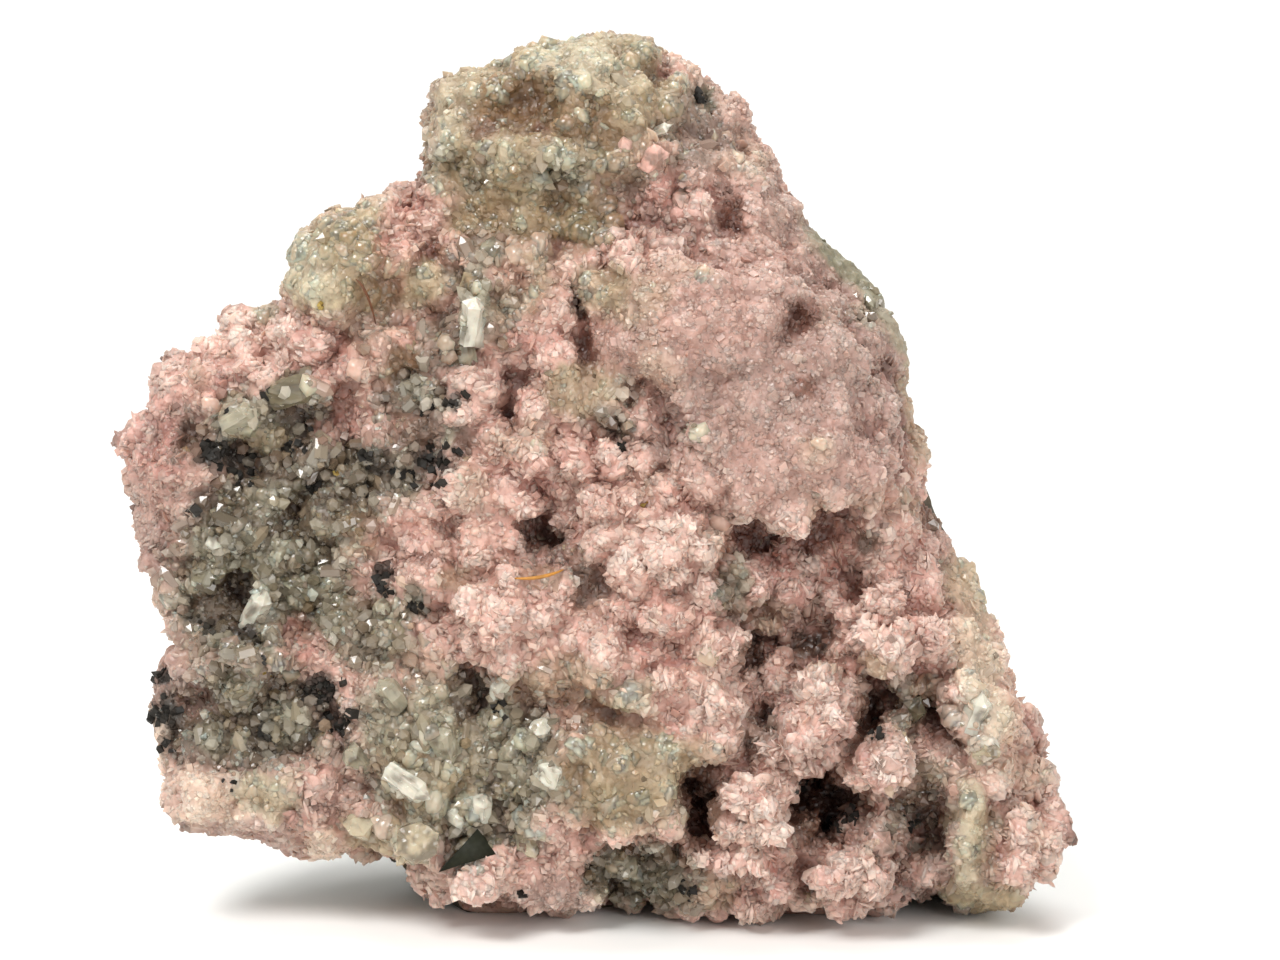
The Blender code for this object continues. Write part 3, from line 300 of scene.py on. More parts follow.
    ("vug", 25, 10.8, 1.8, 1.8, 0.6), ("pitch", 25.8, 10.3, 1.0, 0.8, 0.9),
    ("red_brown", 11.2, 13, 2.6, 5, 0.6, -8), ("vug", 11.4, 12.4, 1.9, 4.2, 0.9, -8),
    ("blush", 16, 12, 3.8, 5, 1.0, -10), ("petal", 17, 11, 2.8, 3.2, 0.9),
    ("petal", 16.6, 8.4, 2.1, 1.5, 0.5), ("rose", 17.4, 4.6, 3.5, 3.3), ("petal", 16.8, 5.2, 2.3, 2.2, 0.8),
    ("rose", 12.6, 6.8, 2.2, 2, 0.8), ("blush", 25.2, 4.6, 4.5, 4.9), ("petal", 25, 6.0, 3.4, 2.8, 0.8),
    ("red_brown", 21, 4.6, 0.9, 3.6, 0.85), ("dusty", 27.6, 9, 1.8, 2, 0.9),
    ("umber", 29.2, 7.8, 0.8, 2.2, 0.85, -25), ("mauve", 31, 4, 2.5, 2.6, 0.7),
]


# ---------------------------------------------------------------- maths on arrays of points

def smooth(a, b, x):
    t = np.clip((x - a) / (b - a), 0.0, 1.0)
    return t * t * (3.0 - 2.0 * t)


def linear(rgb):
    c = np.asarray(rgb, float) / 255.0
    return np.where(c <= 0.04045, c / 12.92, ((c + 0.055) / 1.055) ** 2.4)


def stone_colour(name):
    return linear(PALETTE[name][0]) * TINT_LEVEL


def hashed(cell, salt):
    """A repeatable number from 0 to 1 for each whole-numbered cell."""
    x, y, z = np.moveaxis(cell.astype(np.int64), -1, 0)
    h = (x * 73856093) ^ (y * 19349663) ^ (z * 83492791) ^ (salt * 2654435761)
    h = (h ^ (h >> 13)) * 1274126177 & 0xFFFFFFFF
    h = (h ^ (h >> 16)) * 2246822519 & 0xFFFFFFFF
    return ((h ^ (h >> 13)) & 0xFFFFFF) / float(0x1000000)


def clouds(points, size, salt=0):
    """Smooth noise from -1 to 1."""
    p = points / size
    base = np.floor(p)
    f = p - base
    f = f * f * (3.0 - 2.0 * f)
    total = np.zeros(len(p))
    for dx in (0, 1):
        for dy in (0, 1):
            for dz in (0, 1):
                weight = (np.abs(1 - dx - f[:, 0]) * np.abs(1 - dy - f[:, 1])
                          * np.abs(1 - dz - f[:, 2]))
                total += weight * hashed(base + (dx, dy, dz), salt)
    return total * 2.0 - 1.0


def drift(points, size, salts):
    """A smooth wandering vector, one cloud for each salt."""
    return np.stack([clouds(points, size, salt) for salt in salts], -1)


def cells(points, size, salt=0):
    """Nearest and next feature distance, and for the nearest cell its own random numbers
    and the offset from its centre."""
    p = points / size
    base = np.floor(p)
    near = np.full(len(p), 9.0)
    second = np.full(len(p), 9.0)
    own = np.zeros((len(p), 3))
    offset = np.zeros((len(p), 3))
    for dx in (-1, 0, 1):
        for dy in (-1, 0, 1):
            for dz in (-1, 0, 1):
                cell = base + (dx, dy, dz)
                centre = cell + np.stack([hashed(cell, salt + k) for k in (1, 2, 3)], -1)
                gap = p - centre
                dist = np.sqrt((gap ** 2).sum(1))
                closer = dist < near
                second = np.where(closer, near, np.minimum(second, dist))
                near = np.where(closer, dist, near)
                own[closer] = np.stack([hashed(cell[closer], salt + k) for k in (4, 5, 6)], -1)
                offset[closer] = gap[closer]
    return near, second, own, offset


def lean():
    a = math.radians(-LEAN_DEG)
    return np.array([[1, 0, 0], [0, math.cos(a), -math.sin(a)], [0, math.sin(a), math.cos(a)]])


def face_place(points):
    """(u, w, d) in mm of points in the frame, given in mm."""
    local = (points - np.array(FACE_ORIGIN)) @ lean()
    return local[:, 0], local[:, 2], -local[:, 1]


def frame_place(u, w, d):
    """The point of the frame, in mm, at (u, w, d)."""
    return lean() @ np.array((u, -d, w), float) + np.array(FACE_ORIGIN)


OUTWARD = lean() @ np.array((0.0, -1.0, 0.0))


# ---------------------------------------------------------------- stone map

def seam(points):
    """How deep in mm the wandering line lies where the crust ends and the rock begins."""
    low, mean, high = SEAM
    line = mean + 3.2 * clouds(points, 9.0, 111) + 1.1 * clouds(points, 3.0, 112)
    return np.clip(line, low, high)


def ahead_of_seam(points, normals):
    """How far in mm a surface lies in front of the seam; its back is always behind."""
    back = smooth(0.35, 0.8, -(normals @ OUTWARD))
    return face_place(points)[2] - seam(points) - 6.0 * back


def stone_map(points):
    """Tint (linear), amount of each kind of growth and rise in mm, at points in mm."""
    u, w, d = face_place(points)
    wander = drift(points, 2.2, (11, 12)) + 0.6 * drift(points, 0.9, (13, 14))
    uu, ww = u + 0.8 * wander[:, 0], w + 0.8 * wander[:, 1]
    tint = np.zeros((len(u), 3))
    rise = np.zeros(len(u))
    kinds = {kind: np.zeros(len(u)) for kind in KINDS}

    def lay(name, cover):
        _, own, height = PALETTE[name]
        tint[:] += (stone_colour(name) - tint) * cover[:, None]
        rise[:] += (height - rise) * cover
        for kind in KINDS:
            kinds[kind] += ((kind == own) - kinds[kind]) * cover

    def away(pu, pw, ru, rw, turn):
        a = math.radians(turn)
        x = ((uu - pu) * math.cos(a) + (ww - pw) * math.sin(a)) / ru
        y = ((ww - pw) * math.cos(a) - (uu - pu) * math.sin(a)) / rw
        return np.hypot(x, y)

    def lay_patch(name, pu, pw, ru, rw, cover=1.0, turn=0):
        lay(name, cover * (1.0 - smooth(0.55, 1.05, away(pu, pw, ru, rw, turn))))

    def raise_ledge(pu, pw, ru, rw, height, soft=0.6, turn=0):
        edge = smooth(1.0 - soft, 1.0 + 0.3 * soft, away(pu, pw, ru, rw, turn))
        rise[:] += height * (1.0 - edge)

    for patch in PATCHES:
        lay_patch(*patch)
    for ledge in LEDGES:
        raise_ledge(*ledge)
    pinkish = kinds["blade"] + kinds["sugar"]
    lay("sand", 0.35 * pinkish * smooth(0.2, 0.7, clouds(points, 5.5, 24)))
    hue, glass = clouds(points, 3.6, 32), kinds["quartz"].copy()
    lay("petal", 0.3 * kinds["blade"] * smooth(0.2, 0.6, hue))
    lay("wine", 0.35 * kinds["blade"] * smooth(0.25, 0.65, -hue))
    lay("pale", 0.5 * glass * smooth(0.1, 0.5, hue))
    lay("moss", 0.55 * glass * smooth(0.15, 0.55, -hue))
    lay("tan", 0.8 * (1.0 - smooth(-0.4, 2.0, d - seam(points) + 1.4 * wander[:, 0])))
    return tint, kinds, rise


def rock_map(points):
    """Tint (linear) of the dark rock behind the crust."""
    tint = np.tile(stone_colour("rock"), (len(points), 1))

    def lay(name, cover):
        tint[:] += (stone_colour(name) - tint) * cover[:, None]

    _, _, chip, _ = cells(points, SMALL_CHIP, 71)
    streak = clouds(points * (1.0, 1.6, 0.7), 4.4, 21) + 0.7 * clouds(points, 1.5, 22)
    lay("rock_dark", 0.65 * smooth(-0.3, 0.9, streak))
    lay("green", 0.35 * smooth(0.2, 0.9, -streak))
    bent = points + 1.6 * drift(points, 5.0, (25, 26, 27))
    vein = np.abs(clouds(bent * (1.0, 1.0, 0.5), 19.0, 23))
    lay("tan", 0.55 * (1.0 - smooth(0.008, 0.03, vein)) * smooth(0.1, 0.5, clouds(points, 9.0, 29)))
    lay("stain", 0.3 * smooth(0.3, 0.8, clouds(points, 2.6, 30)))
    return tint * (0.78 + 0.44 * chip[:, :1])


# ---------------------------------------------------------------- meshes

def add_object(name, data):
    obj = bpy.data.objects.new(name, data)
    bpy.context.scene.collection.objects.link(obj)
    return obj


@contextmanager
def reworked(mesh, source=None):
    """A bmesh of the mesh, or of another as its source, that is written back at the end."""
    bm = bmesh.new()
    bm.from_mesh(source or mesh)
    yield bm
    bm.to_mesh(mesh)
    bm.free()


def mesh_object(name, co, tris, tint):
    """An object from points in mm, triangles and a linear tint for each point."""
    mesh = bpy.data.meshes.new(name)
    mesh.vertices.add(len(co))
    mesh.vertices.foreach_set("co", (co * MM).astype(np.float32).ravel())
    mesh.loops.add(len(tris) * 3)
    mesh.loops.foreach_set("vertex_index", tris.astype(np.int32).ravel())
    mesh.polygons.add(len(tris))
    mesh.polygons.foreach_set("loop_start", np.arange(0, len(tris) * 3, 3, dtype=np.int32))
    mesh.update(calc_edges=True)
    mesh.validate()
    paint(mesh, tint)
    return add_object(name, mesh)


def paint(mesh, tint):
    """Give each point its tint, in place of an older one."""
    old = mesh.color_attributes.get("tint")
    if old:
        mesh.color_attributes.remove(old)
    layer = mesh.color_attributes.new("tint", "FLOAT_COLOR", "POINT")
    rgba = np.ones((len(tint), 4), np.float32)
    rgba[:, :3] = tint
    layer.data.foreach_set("color", rgba.ravel())


def points_of(mesh):
    co = np.empty(len(mesh.vertices) * 3)
    mesh.vertices.foreach_get("co", co)
    return co.reshape(-1, 3) / MM


def normals_of(mesh):
    no = np.empty(len(mesh.vertices) * 3)
    mesh.vertices.foreach_get("normal", no)
    return no.reshape(-1, 3)


def triangles_of(mesh):
    mesh.calc_loop_triangles()
    tris = np.empty(len(mesh.loop_triangles) * 3, np.int32)
    mesh.loop_triangles.foreach_get("vertices", tris)
    return tris.reshape(-1, 3)


def modify(obj, kind, **settings):
    mod = obj.modifiers.new(kind.lower(), kind)
    for key, value in settings.items():
        setattr(mod, key, value)


def bake_modifiers(obj):
    depsgraph = bpy.context.evaluated_depsgraph_get()
    baked = bpy.data.meshes.new_from_object(obj.evaluated_get(depsgraph))
    obj.modifiers.clear()
    obj.data = baked


def slab_of_solid(name, limit, front):
    """The CAD solid's part in front of d = limit, or behind it, as a closed mesh."""
    obj = add_object(name, bpy.data.meshes.new(name))
    with reworked(obj.data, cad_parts[NODE].data) as bm:
        bmesh.ops.remove_doubles(bm, verts=bm.verts, dist=WELD)
    middle = limit - BEYOND if front else limit + BEYOND
    corners = [frame_place(x, z, middle + y) * MM for x in (-BEYOND, BEYOND)
               for y in (-BEYOND, BEYOND) for z in (-BEYOND, 2 * BEYOND)]
    cutter = add_object("cutter", bpy.data.meshes.new("cut"))
    with reworked(cutter.data) as bm:
        bmesh.ops.convex_hull(bm, input=[bm.verts.new(c) for c in corners])
    modify(obj, "BOOLEAN", operation="DIFFERENCE", solver="EXACT", object=cutter)
    bake_modifiers(obj)
    bpy.data.objects.remove(cutter)
    return obj


def reskin(obj, cell, ease):
    """A closed skin of even small faces over the object, eased so many times, as triangles."""
    modify(obj, "REMESH", mode="VOXEL", voxel_size=cell * MM)
    modify(obj, "SMOOTH", factor=0.5, iterations=ease)
    modify(obj, "TRIANGULATE")
    bake_modifiers(obj)


def thin_out(obj, most):
    """Leaves at most so many triangles: the flattest go first, and no slivers stay."""
    modify(obj, "DECIMATE", ratio=min(1.0, most / len(obj.data.polygons)))
    bake_modifiers(obj)
    with reworked(obj.data) as bm:
        bmesh.ops.dissolve_degenerate(bm, edges=bm.edges[:], dist=SLIVER * MM)
        bmesh.ops.triangulate(bm, faces=bm.faces[:])
    move_points(obj.data, points_of(obj.data), 0.0)


def move_points(mesh, co, shift):
    """Move the points, but leave the foot flat on the floor."""
    co = co + shift * smooth(0.1, 0.8, co[:, 2])[:, None]
    co[:, 2] = np.maximum(co[:, 2], 0.0)
    mesh.vertices.foreach_set("co", (co * MM).astype(np.float32).ravel())
    mesh.update()
    return co


def grid_cell(u, w):
    col = ((u - GRID_LOW[0]) / GRID_CELL).astype(int).clip(0, GRID_SIZE[0] - 1)
    row = ((w - GRID_LOW[1]) / GRID_CELL).astype(int).clip(0, GRID_SIZE[1] - 1)
    return col, row


def height_grid(co):
    """How far out the crust reaches over each cell of the face."""
    u, w, d = face_place(co)
    grid = np.full(GRID_SIZE, CRUST_BACK)
    np.maximum.at(grid, grid_cell(u, w), d)
    return grid


def blurred(grid, reach):
    """The grid's mean over a square that reaches this many cells each way."""
    span = 2 * reach + 1
    for axis in (0, 1):
        edges = [(reach + 1, reach) if a == axis else (0, 0) for a in (0, 1)]
        total = np.cumsum(np.pad(grid, edges, mode="edge"), axis)
        count = grid.shape[axis]
        grid = (np.take(total, range(span, span + count), axis)
                - np.take(total, range(count), axis)) / span
    return grid


def painted_shade_and_light(co, no, grid):
    """A factor for the tint: painted shade, darker and warmer in hollows and gaps, and painted light, a
    little lighter on rises.
    """
    u, w, d = face_place(co)
    cell = grid_cell(u, w)
    near = blurred(grid, 4)[cell] - d
    wide = blurred(grid, 10)[cell] - d
    gap, _ = heads(co)
    dark = 0.36 * smooth(0.3, 2.6, near) + 0.18 * smooth(0.8, 4.5, wide) + 0.16 * gap
    dark *= smooth(-0.1, 0.45, no @ OUTWARD)
    shade = 1.0 - dark + 0.12 * smooth(0.2, 1.4, -near)
    return shade[:, None] ** np.array((0.85, 1.15, 1.25))


def grow_crust():
    """The mineral crust: broad ledges and rounded heads first, then its small lumps."""
    obj = slab_of_solid("crust", CRUST_BACK, True)
    reskin(obj, BROAD_CELL, 2)
    co, no = points_of(obj.data), normals_of(obj.data)
    _, kinds, rise = stone_map(co)
    rugged = ruggedness(kinds)
    gap, head = heads(co)
    ahead = ahead_of_seam(co, no)
    rim = 1.0 - smooth(-0.75, 0.85, ahead)
    move = rise + ((0.5 - head) * HEAD_HEIGHT - gap * GAP_DEPTH) * rugged
    move = move * (1.0 - rim) - 1.5 * rim - 1.5 * (1.0 - smooth(-2.6, -0.8, ahead))
    move_points(obj.data, co, no * move[:, None] + 0.9 * drift(co, 3.2, (101, 102, 103)))

    reskin(obj, CRUST_CELL, 1)
    mesh = obj.data
    co, no = points_of(mesh), normals_of(mesh)
    tint, kinds, _ = stone_map(co)
    rugged = ruggedness(kinds)
    near, _, own, _ = cells(co, LUMP_SIZE, 31)
    fine, _, fine_own, _ = cells(co, FINE_SIZE, 41)
    move = ((0.55 - near) * 0.9 * (0.35 + 0.65 * rugged) + (0.5 - fine) * 0.5
            + 0.14 * clouds(co, 0.7, 51))
    move *= smooth(-3.5, -2.0, ahead_of_seam(co, no))
    co = move_points(mesh, co, no * move[:, None])
    # painted shade: the creases between the fine lumps are darkened towards a warm red-brown in pink stone
    # and a dull olive in the rest
    crease_shade = smooth(0.0, 0.55, near) * 0.5 + smooth(0.1, 0.6, fine) * 0.3
    warm, dull = linear(WARM_CREASE_SHADE), linear(DULL_CREASE_SHADE)
    pinkish = (kinds["blade"] + 0.5 * kinds["sugar"])[:, None]
    deep = warm * pinkish + dull * (1.0 - pinkish)
    amount = (0.35 * crease_shade ** 1.5 * (0.4 + 0.6 * rugged))[:, None]
    tint = tint * (1.0 - amount) + np.minimum(deep, tint) * amount
    tint *= (0.90 + 0.20 * own[:, :1]) * (0.95 + 0.10 * fine_own[:, :1])
    grid = height_grid(co)
    # painted shade in the hollows and painted light on the rises are multiplied into the crust's tint
    paint(mesh, tint * painted_shade_and_light(co, normals_of(mesh), grid))
    thin_out(obj, CRUST_TRIANGLES)
    return obj, grid


def ruggedness(kinds):
    return (kinds["blade"] + 0.8 * (kinds["quartz"] + kinds["bare"])
            + 0.35 * (kinds["sugar"] + kinds["massive"]))


def heads(co):
    """The gaps between the rounded heads of the crust, and the distance from each middle."""
    near, second, _, _ = cells(co, HEAD_SIZE, 91)
    return 1.0 - smooth(0.03, 0.34, second - near), near


def break_rock():
    """The dark rock behind the crust, its faces broken by tilted chips."""
    obj = slab_of_solid("rock_back", ROCK_FRONT, False)
    reskin(obj, ROCK_CELL, 2)
    mesh = obj.data
    co, no = points_of(mesh), normals_of(mesh)
    _, _, tilt, offset = cells(co * (1.0, 0.7, 0.85), ROCK_CHIP, 61)
    _, _, chip_tilt, chip = cells(co, SMALL_CHIP, 71)
    broken = (2.4 * ((tilt - 0.5) * offset).sum(1) + 1.1 * ((chip_tilt - 0.5) * chip).sum(1)
              + 0.12 * clouds(co, 0.9, 81))
    ahead = ahead_of_seam(co, no)
    rim = smooth(-0.75, 0.65, ahead)
    calm = (1.0 - rim) * (0.35 + 0.65 * smooth(0.0, 3.0, -ahead))
    move = broken * calm - 1.3 * rim - 2.4 * smooth(0.6, 2.4, ahead)
    move_points(mesh, co, no * move[:, None])
    paint(mesh, rock_map(co))
    return obj


# ---------------------------------------------------------------- crystals

def blade_form():
    """A thin lens with eight sides, its broad faces almost flat."""
    ring = [(math.cos(a), math.sin(a), 0.0) for a in (math.tau * k / 8 for k in range(8))]
    points = ring + [(0, 0, 0.5), (0, 0, -0.5)]
    tris = [(k, (k + 1) % 8, 8) for k in range(8)] + [((k + 1) % 8, k, 9) for k in range(8)]
    return np.array(points, float), np.array(tris)


def prism_form(tip):
    """A six-sided prism along +Z, from -1 to 1, closed by a pyramid with its tip off centre."""
    ring = [(math.cos(a), math.sin(a)) for a in (math.tau * k / 6 for k in range(6))]
    points = [(x, y, z) for z in (-1.0, 1.0) for x, y in ring]
    points += [(0, 0, -1.0), (0.12, 0.05, 1.0 + tip)]
    tris = []
    for k in range(6):
        j = (k + 1) % 6
        tris += [(k, j, 6 + j), (k, 6 + j, 6 + k), (j, k, 12), (6 + k, 6 + j, 13)]
    return np.array(points, float), np.array(tris)


def grain_form(level=1):
    """A rough twelve-cornered grain; a rounder one at level 2."""
    bm = bmesh.new()
    bmesh.ops.create_icosphere(bm, subdivisions=level, radius=1.0)
    points = np.array([v.co[:] for v in bm.verts])
    tris = np.array([[v.index for v in f.verts] for f in bm.faces])
    bm.free()
    return points, tris


def cube_form():
    """A slightly sheared cube, as rhombs and sulfide grains have."""
    s = 0.25
    points = [(x + s * z, y, z) for x in (-1, 1) for y in (-1, 1) for z in (-1, 1)]
    quads = [(0, 1, 3, 2), (4, 6, 7, 5), (0, 4, 5, 1), (2, 3, 7, 6), (0, 2, 6, 4), (1, 5, 7, 3)]
    tris = [t for a, b, c, e in quads for t in ((a, b, c), (a, c, e))]
    return np.array(points, float), np.array(tris)


def spin_to(axes, rng):
    """A rotation for each axis that takes +Z to it, with a random turn about it."""
    axes = axes / np.linalg.norm(axes, axis=1, keepdims=True)
    helper = np.where(np.abs(axes[:, :1]) < 0.7, (1.0, 0.0, 0.0), (0.0, 1.0, 0.0))
    side = np.cross(axes, helper)
    side /= np.linalg.norm(side, axis=1, keepdims=True)
    other = np.cross(axes, side)
    a = rng.uniform(0, math.tau, len(axes))[:, None]
    return np.stack([side * np.cos(a) + other * np.sin(a),
                     other * np.cos(a) - side * np.sin(a), axes], -1)


def scatter_points(ground, density, count, rng):
    """Random places on the ground, more of them where the density is higher."""
    co, no, tris = ground
    corner = co[tris]
    along, across = corner[:, 1] - corner[:, 0], corner[:, 2] - corner[:, 0]
    area = np.linalg.norm(np.cross(along, across), axis=1)
    chance = area * density[tris].mean(1)
    picks = rng.choice(len(tris), count, p=chance / chance.sum())
    a, b = rng.random(count), rng.random(count)
    flip = a + b > 1.0
    a[flip], b[flip] = 1.0 - a[flip], 1.0 - b[flip]
    share = np.stack([1.0 - a - b, a, b], 1)[:, :, None]
    spot = (corner[picks] * share).sum(1)
    normal = (no[tris[picks]] * share).sum(1)
    return spot, normal / np.linalg.norm(normal, axis=1, keepdims=True)


def plant(name, form, spots, turns, sizes, tint, rough_shape, rng):
    """Many crystals of one form as one object."""
    points, tris = form
    count = len(spots)
    body = points[None] * sizes[:, None, :]
    body = body * rng.uniform(1.0 - rough_shape, 1.0 + rough_shape, (count, len(points), 1))
    placed = np.einsum("nij,nvj->nvi", turns, body) + spots[:, None, :]
    placed[..., 2] = np.maximum(placed[..., 2], ABOVE_FLOOR)
    faces = tris[None] + (np.arange(count) * len(points))[:, None, None]
    colour = np.repeat(tint[:, None, :], len(points), 1)
    obj = mesh_object(name, placed.reshape(-1, 3), faces.reshape(-1, 3), colour.reshape(-1, 3))
    obj.data.shade_flat()
    return obj


def field(soil, material, name, where, form, count, size, sink, tumble=2.0, lift=1.0,
          uneven=0.16, pale=0.1, shape=(1.0, 1.0, 1.0), rough_shape=0.2, edge_on=False, skew=1.3,
          flat=True, strays=()):
    """A piece made of crystals of one kind, more of them where the ground's weight is higher.

    Size gives the least and greatest radius in mm, sink how much of it is buried and tumble how
    far a crystal leans away from upright.  Lift, uneven and pale change the ground's tint, and
    some crystals take on the colours of the stones named as strays.
    """
    ground, grid, rng = soil
    spots, normals = scatter_points(ground, where, count, rng)
    jitter = rng.normal(0, 1, (count, 3))
    if edge_on:
        axes = np.cross(normals, jitter) + 0.45 * rng.normal(0, 1, (count, 3))
    else:
        axes = normals + tumble * jitter
    radius = size[0] + (size[1] - size[0]) * rng.random(count) ** skew
    sizes = radius[:, None] * np.array(shape) * rng.uniform(0.85, 1.15, (count, 3))
    tint = stone_map(spots)[0]
    if strays:
        others = np.array([stone_colour(stone) for stone in strays])
        tint += (others[rng.integers(0, len(strays), count)] - tint) * (
            0.6 * rng.random((count, 1)) ** 1.5)
    tint *= lift * rng.uniform(1.0 - uneven, 1.0 + uneven, (count, 1))
    # painted shade in hollows and painted light on rises, as on the crust
    tint *= painted_shade_and_light(spots, normals, grid)
    tint += (stone_colour("ivory") - tint) * (pale * rng.random((count, 1)) ** 2)
    obj = plant(name, form, spots - normals * (radius * sink)[:, None], spin_to(axes, rng), sizes,
                tint, rough_shape, rng)
    if not flat:
        obj.data.shade_smooth()
    finish_piece(obj, material)


# ---------------------------------------------------------------- materials

def principled(name):
    """A new node material and the inputs of its shader, both ready to be filled."""
    mat = bpy.data.materials.new(name)
    mat.use_nodes = True
    return mat, next(n for n in mat.node_tree.nodes if n.type == "BSDF_PRINCIPLED")


def fill(tree, node, inputs):
    """Give each named input its value, or link it to another node's output."""
    for key, value in inputs.items():
        if isinstance(value, bpy.types.NodeSocket):
            tree.links.new(value, node.inputs[key])
        else:
            node.inputs[key].default_value = value


def stone_material(name, roughness, speckle, grain_mm, facet, subsurface=0.0, glow_mm=0.1,
                   bump_mm=0.0, more=None):
    """Tint from the mesh, mottled by noise; small facets tip the normal, as sugar glints."""
    mat, bsdf = principled(name)
    tree = mat.node_tree

    def node(kind, inputs, **settings):
        made = tree.nodes.new("ShaderNode" + kind)
        for key, value in settings.items():
            setattr(made, key, value)
        fill(tree, made, inputs)
        return made.outputs

    place = node("TexCoord", {})["Object"]
    tint = node("Attribute", {}, attribute_name="tint")["Color"]
    mottle = node("TexNoise", {"Vector": place, "Detail": 4.0,
                               "Scale": 1.0 / (grain_mm * 2.2 * MM)})["Fac"]
    shade = node("MapRange", {"Value": mottle, "From Min": 0.3, "From Max": 0.7,
                              "To Min": 1.0 - speckle, "To Max": 1.0 + speckle})["Result"]
    colour = node("VectorMath", {0: tint, "Scale": shade}, operation="SCALE")["Vector"]
    grain = node("TexVoronoi", {"Vector": place, "Scale": 1.0 / (grain_mm * MM)})
    gloss = node("MapRange", {"Value": grain["Distance"], "To Min": roughness[0],
                              "To Max": roughness[1]})["Result"]
    if bump_mm:
        normal = node("Bump", {"Distance": bump_mm * MM, "Height": mottle})["Normal"]
    else:
        normal = node("NewGeometry", {})["Normal"]
    centred = node("VectorMath", {0: grain["Color"], 1: (0.5, 0.5, 0.5)}, operation="SUBTRACT")
    tipped = node("VectorMath", {0: centred["Vector"], 1: (facet, facet, facet), 2: normal},
                  operation="MULTIPLY_ADD")
    unit = node("VectorMath", {0: tipped["Vector"]}, operation="NORMALIZE")
    fill(tree, bsdf, {
        "Base Color": colour, "Roughness": gloss, "Normal": unit["Vector"],
        "Specular IOR Level": 0.5, "Subsurface Weight": subsurface,
        "Subsurface Radius": GLOW_REACH, "Subsurface Scale": glow_mm * MM, **(more or {})})


def plain_material(name, rgb, roughness):
    mat, bsdf = principled(name)
    fill(mat.node_tree, bsdf, {"Base Color": (*linear(rgb), 1.0), "Roughness": roughness})
    return mat


def finish_piece(obj, material, slot=None):
    """Give the piece its material and hang it under the root body; the slot, named or looked up, is not
    used.
    """
    slot = slot or MATERIALS[material][0]
    obj.data.materials.clear()
    obj.data.materials.append(bpy.data.materials[material])
    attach(obj, "root")


# ---------------------------------------------------------------- the specimen

# Clusters of black sulfide: u, w, spread in mm, number of grains.
BLACK_SPOTS = [
    (-36.8, 47.0, 0.8, 16), (-33.8, 44.5, 0.8, 14), (-35.0, 50.4, 0.5, 6), (-31.1, 52.0, 0.4, 4),
    (-29.6, 46.4, 0.5, 8), (-28.7, 47.4, 0.5, 8), (-27.1, 43.2, 0.7, 9), (-21.4, 46.1, 0.4, 6),
    (-21.7, 42.9, 0.4, 5), (-14.6, 45.2, 0.9, 18), (-17.4, 44.6, 0.7, 8), (-13.1, 51.5, 0.5, 7),
    (-20.2, 33.9, 0.6, 8), (-16.9, 31.7, 0.5, 7), (-42.6, 24.4, 0.4, 6), (-42.6, 20.9, 0.8, 16),
    (-41.4, 18.1, 0.5, 7), (-27.4, 22.6, 0.7, 14), (-25.5, 23.9, 0.6, 8), (-24.5, 20.4, 0.7, 10),
    (-31.9, 18.8, 0.4, 5), (-35.2, 14.5, 0.3, 3), (25.9, 10.6, 0.5, 7), (11.2, 81.7, 0.5, 6),
    (26.6, 57.0, 0.15, 2), (-9.0, 21.5, 0.5, 5), (9.5, 3.2, 0.6, 7), (-6.4, 3.4, 0.25, 2),
    (21.2, 13.4, 0.6, 8), (23.8, 10.4, 0.5, 7), (31.6, 10.4, 0.6, 7), (27.2, 19.6, 0.5, 6),
    (-31.6, 26.4, 0.3, 4), (-16.2, 50.8, 0.4, 5), (-38.4, 41.2, 0.3, 4), (3.4, 47.6, 0.4, 4),
]

BRASS_SPOTS = [
    (-25.8, 60.8, 0.15, 2), (-24.9, 44.8, 0.2, 3), (-31.3, 25.0, 0.3, 4), (5.3, 41.4, 0.2, 2),
]

# Rusty fibres: both ends and the bend between them (u, w), radius in mm, colour.
FIBRES = [
    ((-22.6, 63.4), (-21.4, 62.8), (-20.8, 59.2), 0.13, (100, 58, 32)),
    ((-7.2, 34.6), (-4.6, 34.4), (-2.4, 35.4), 0.18, (178, 122, 48)),
]

POINT_TIP = 0.8                         # height of a tip, where the half length is 1
SINGLE_TIP = 0.55
QUARTZ_STRAYS = ("ivory", "moss", "cream", "veil", "sand", "tan")
COBBLED = (-12.0, 14.5, 10.5, 9.0)      # middle and half sizes (u, w) of the field of large grains

# A dark olive shard: its corners (u, w), how far it stands out in mm, colour.
SHARD = [(-14.6, 6.0), (-10.9, 10.1), (-9.1, 7.7)]
SHARD_PROUD = 1.2
SHARD_COLOUR = (28, 29, 16)

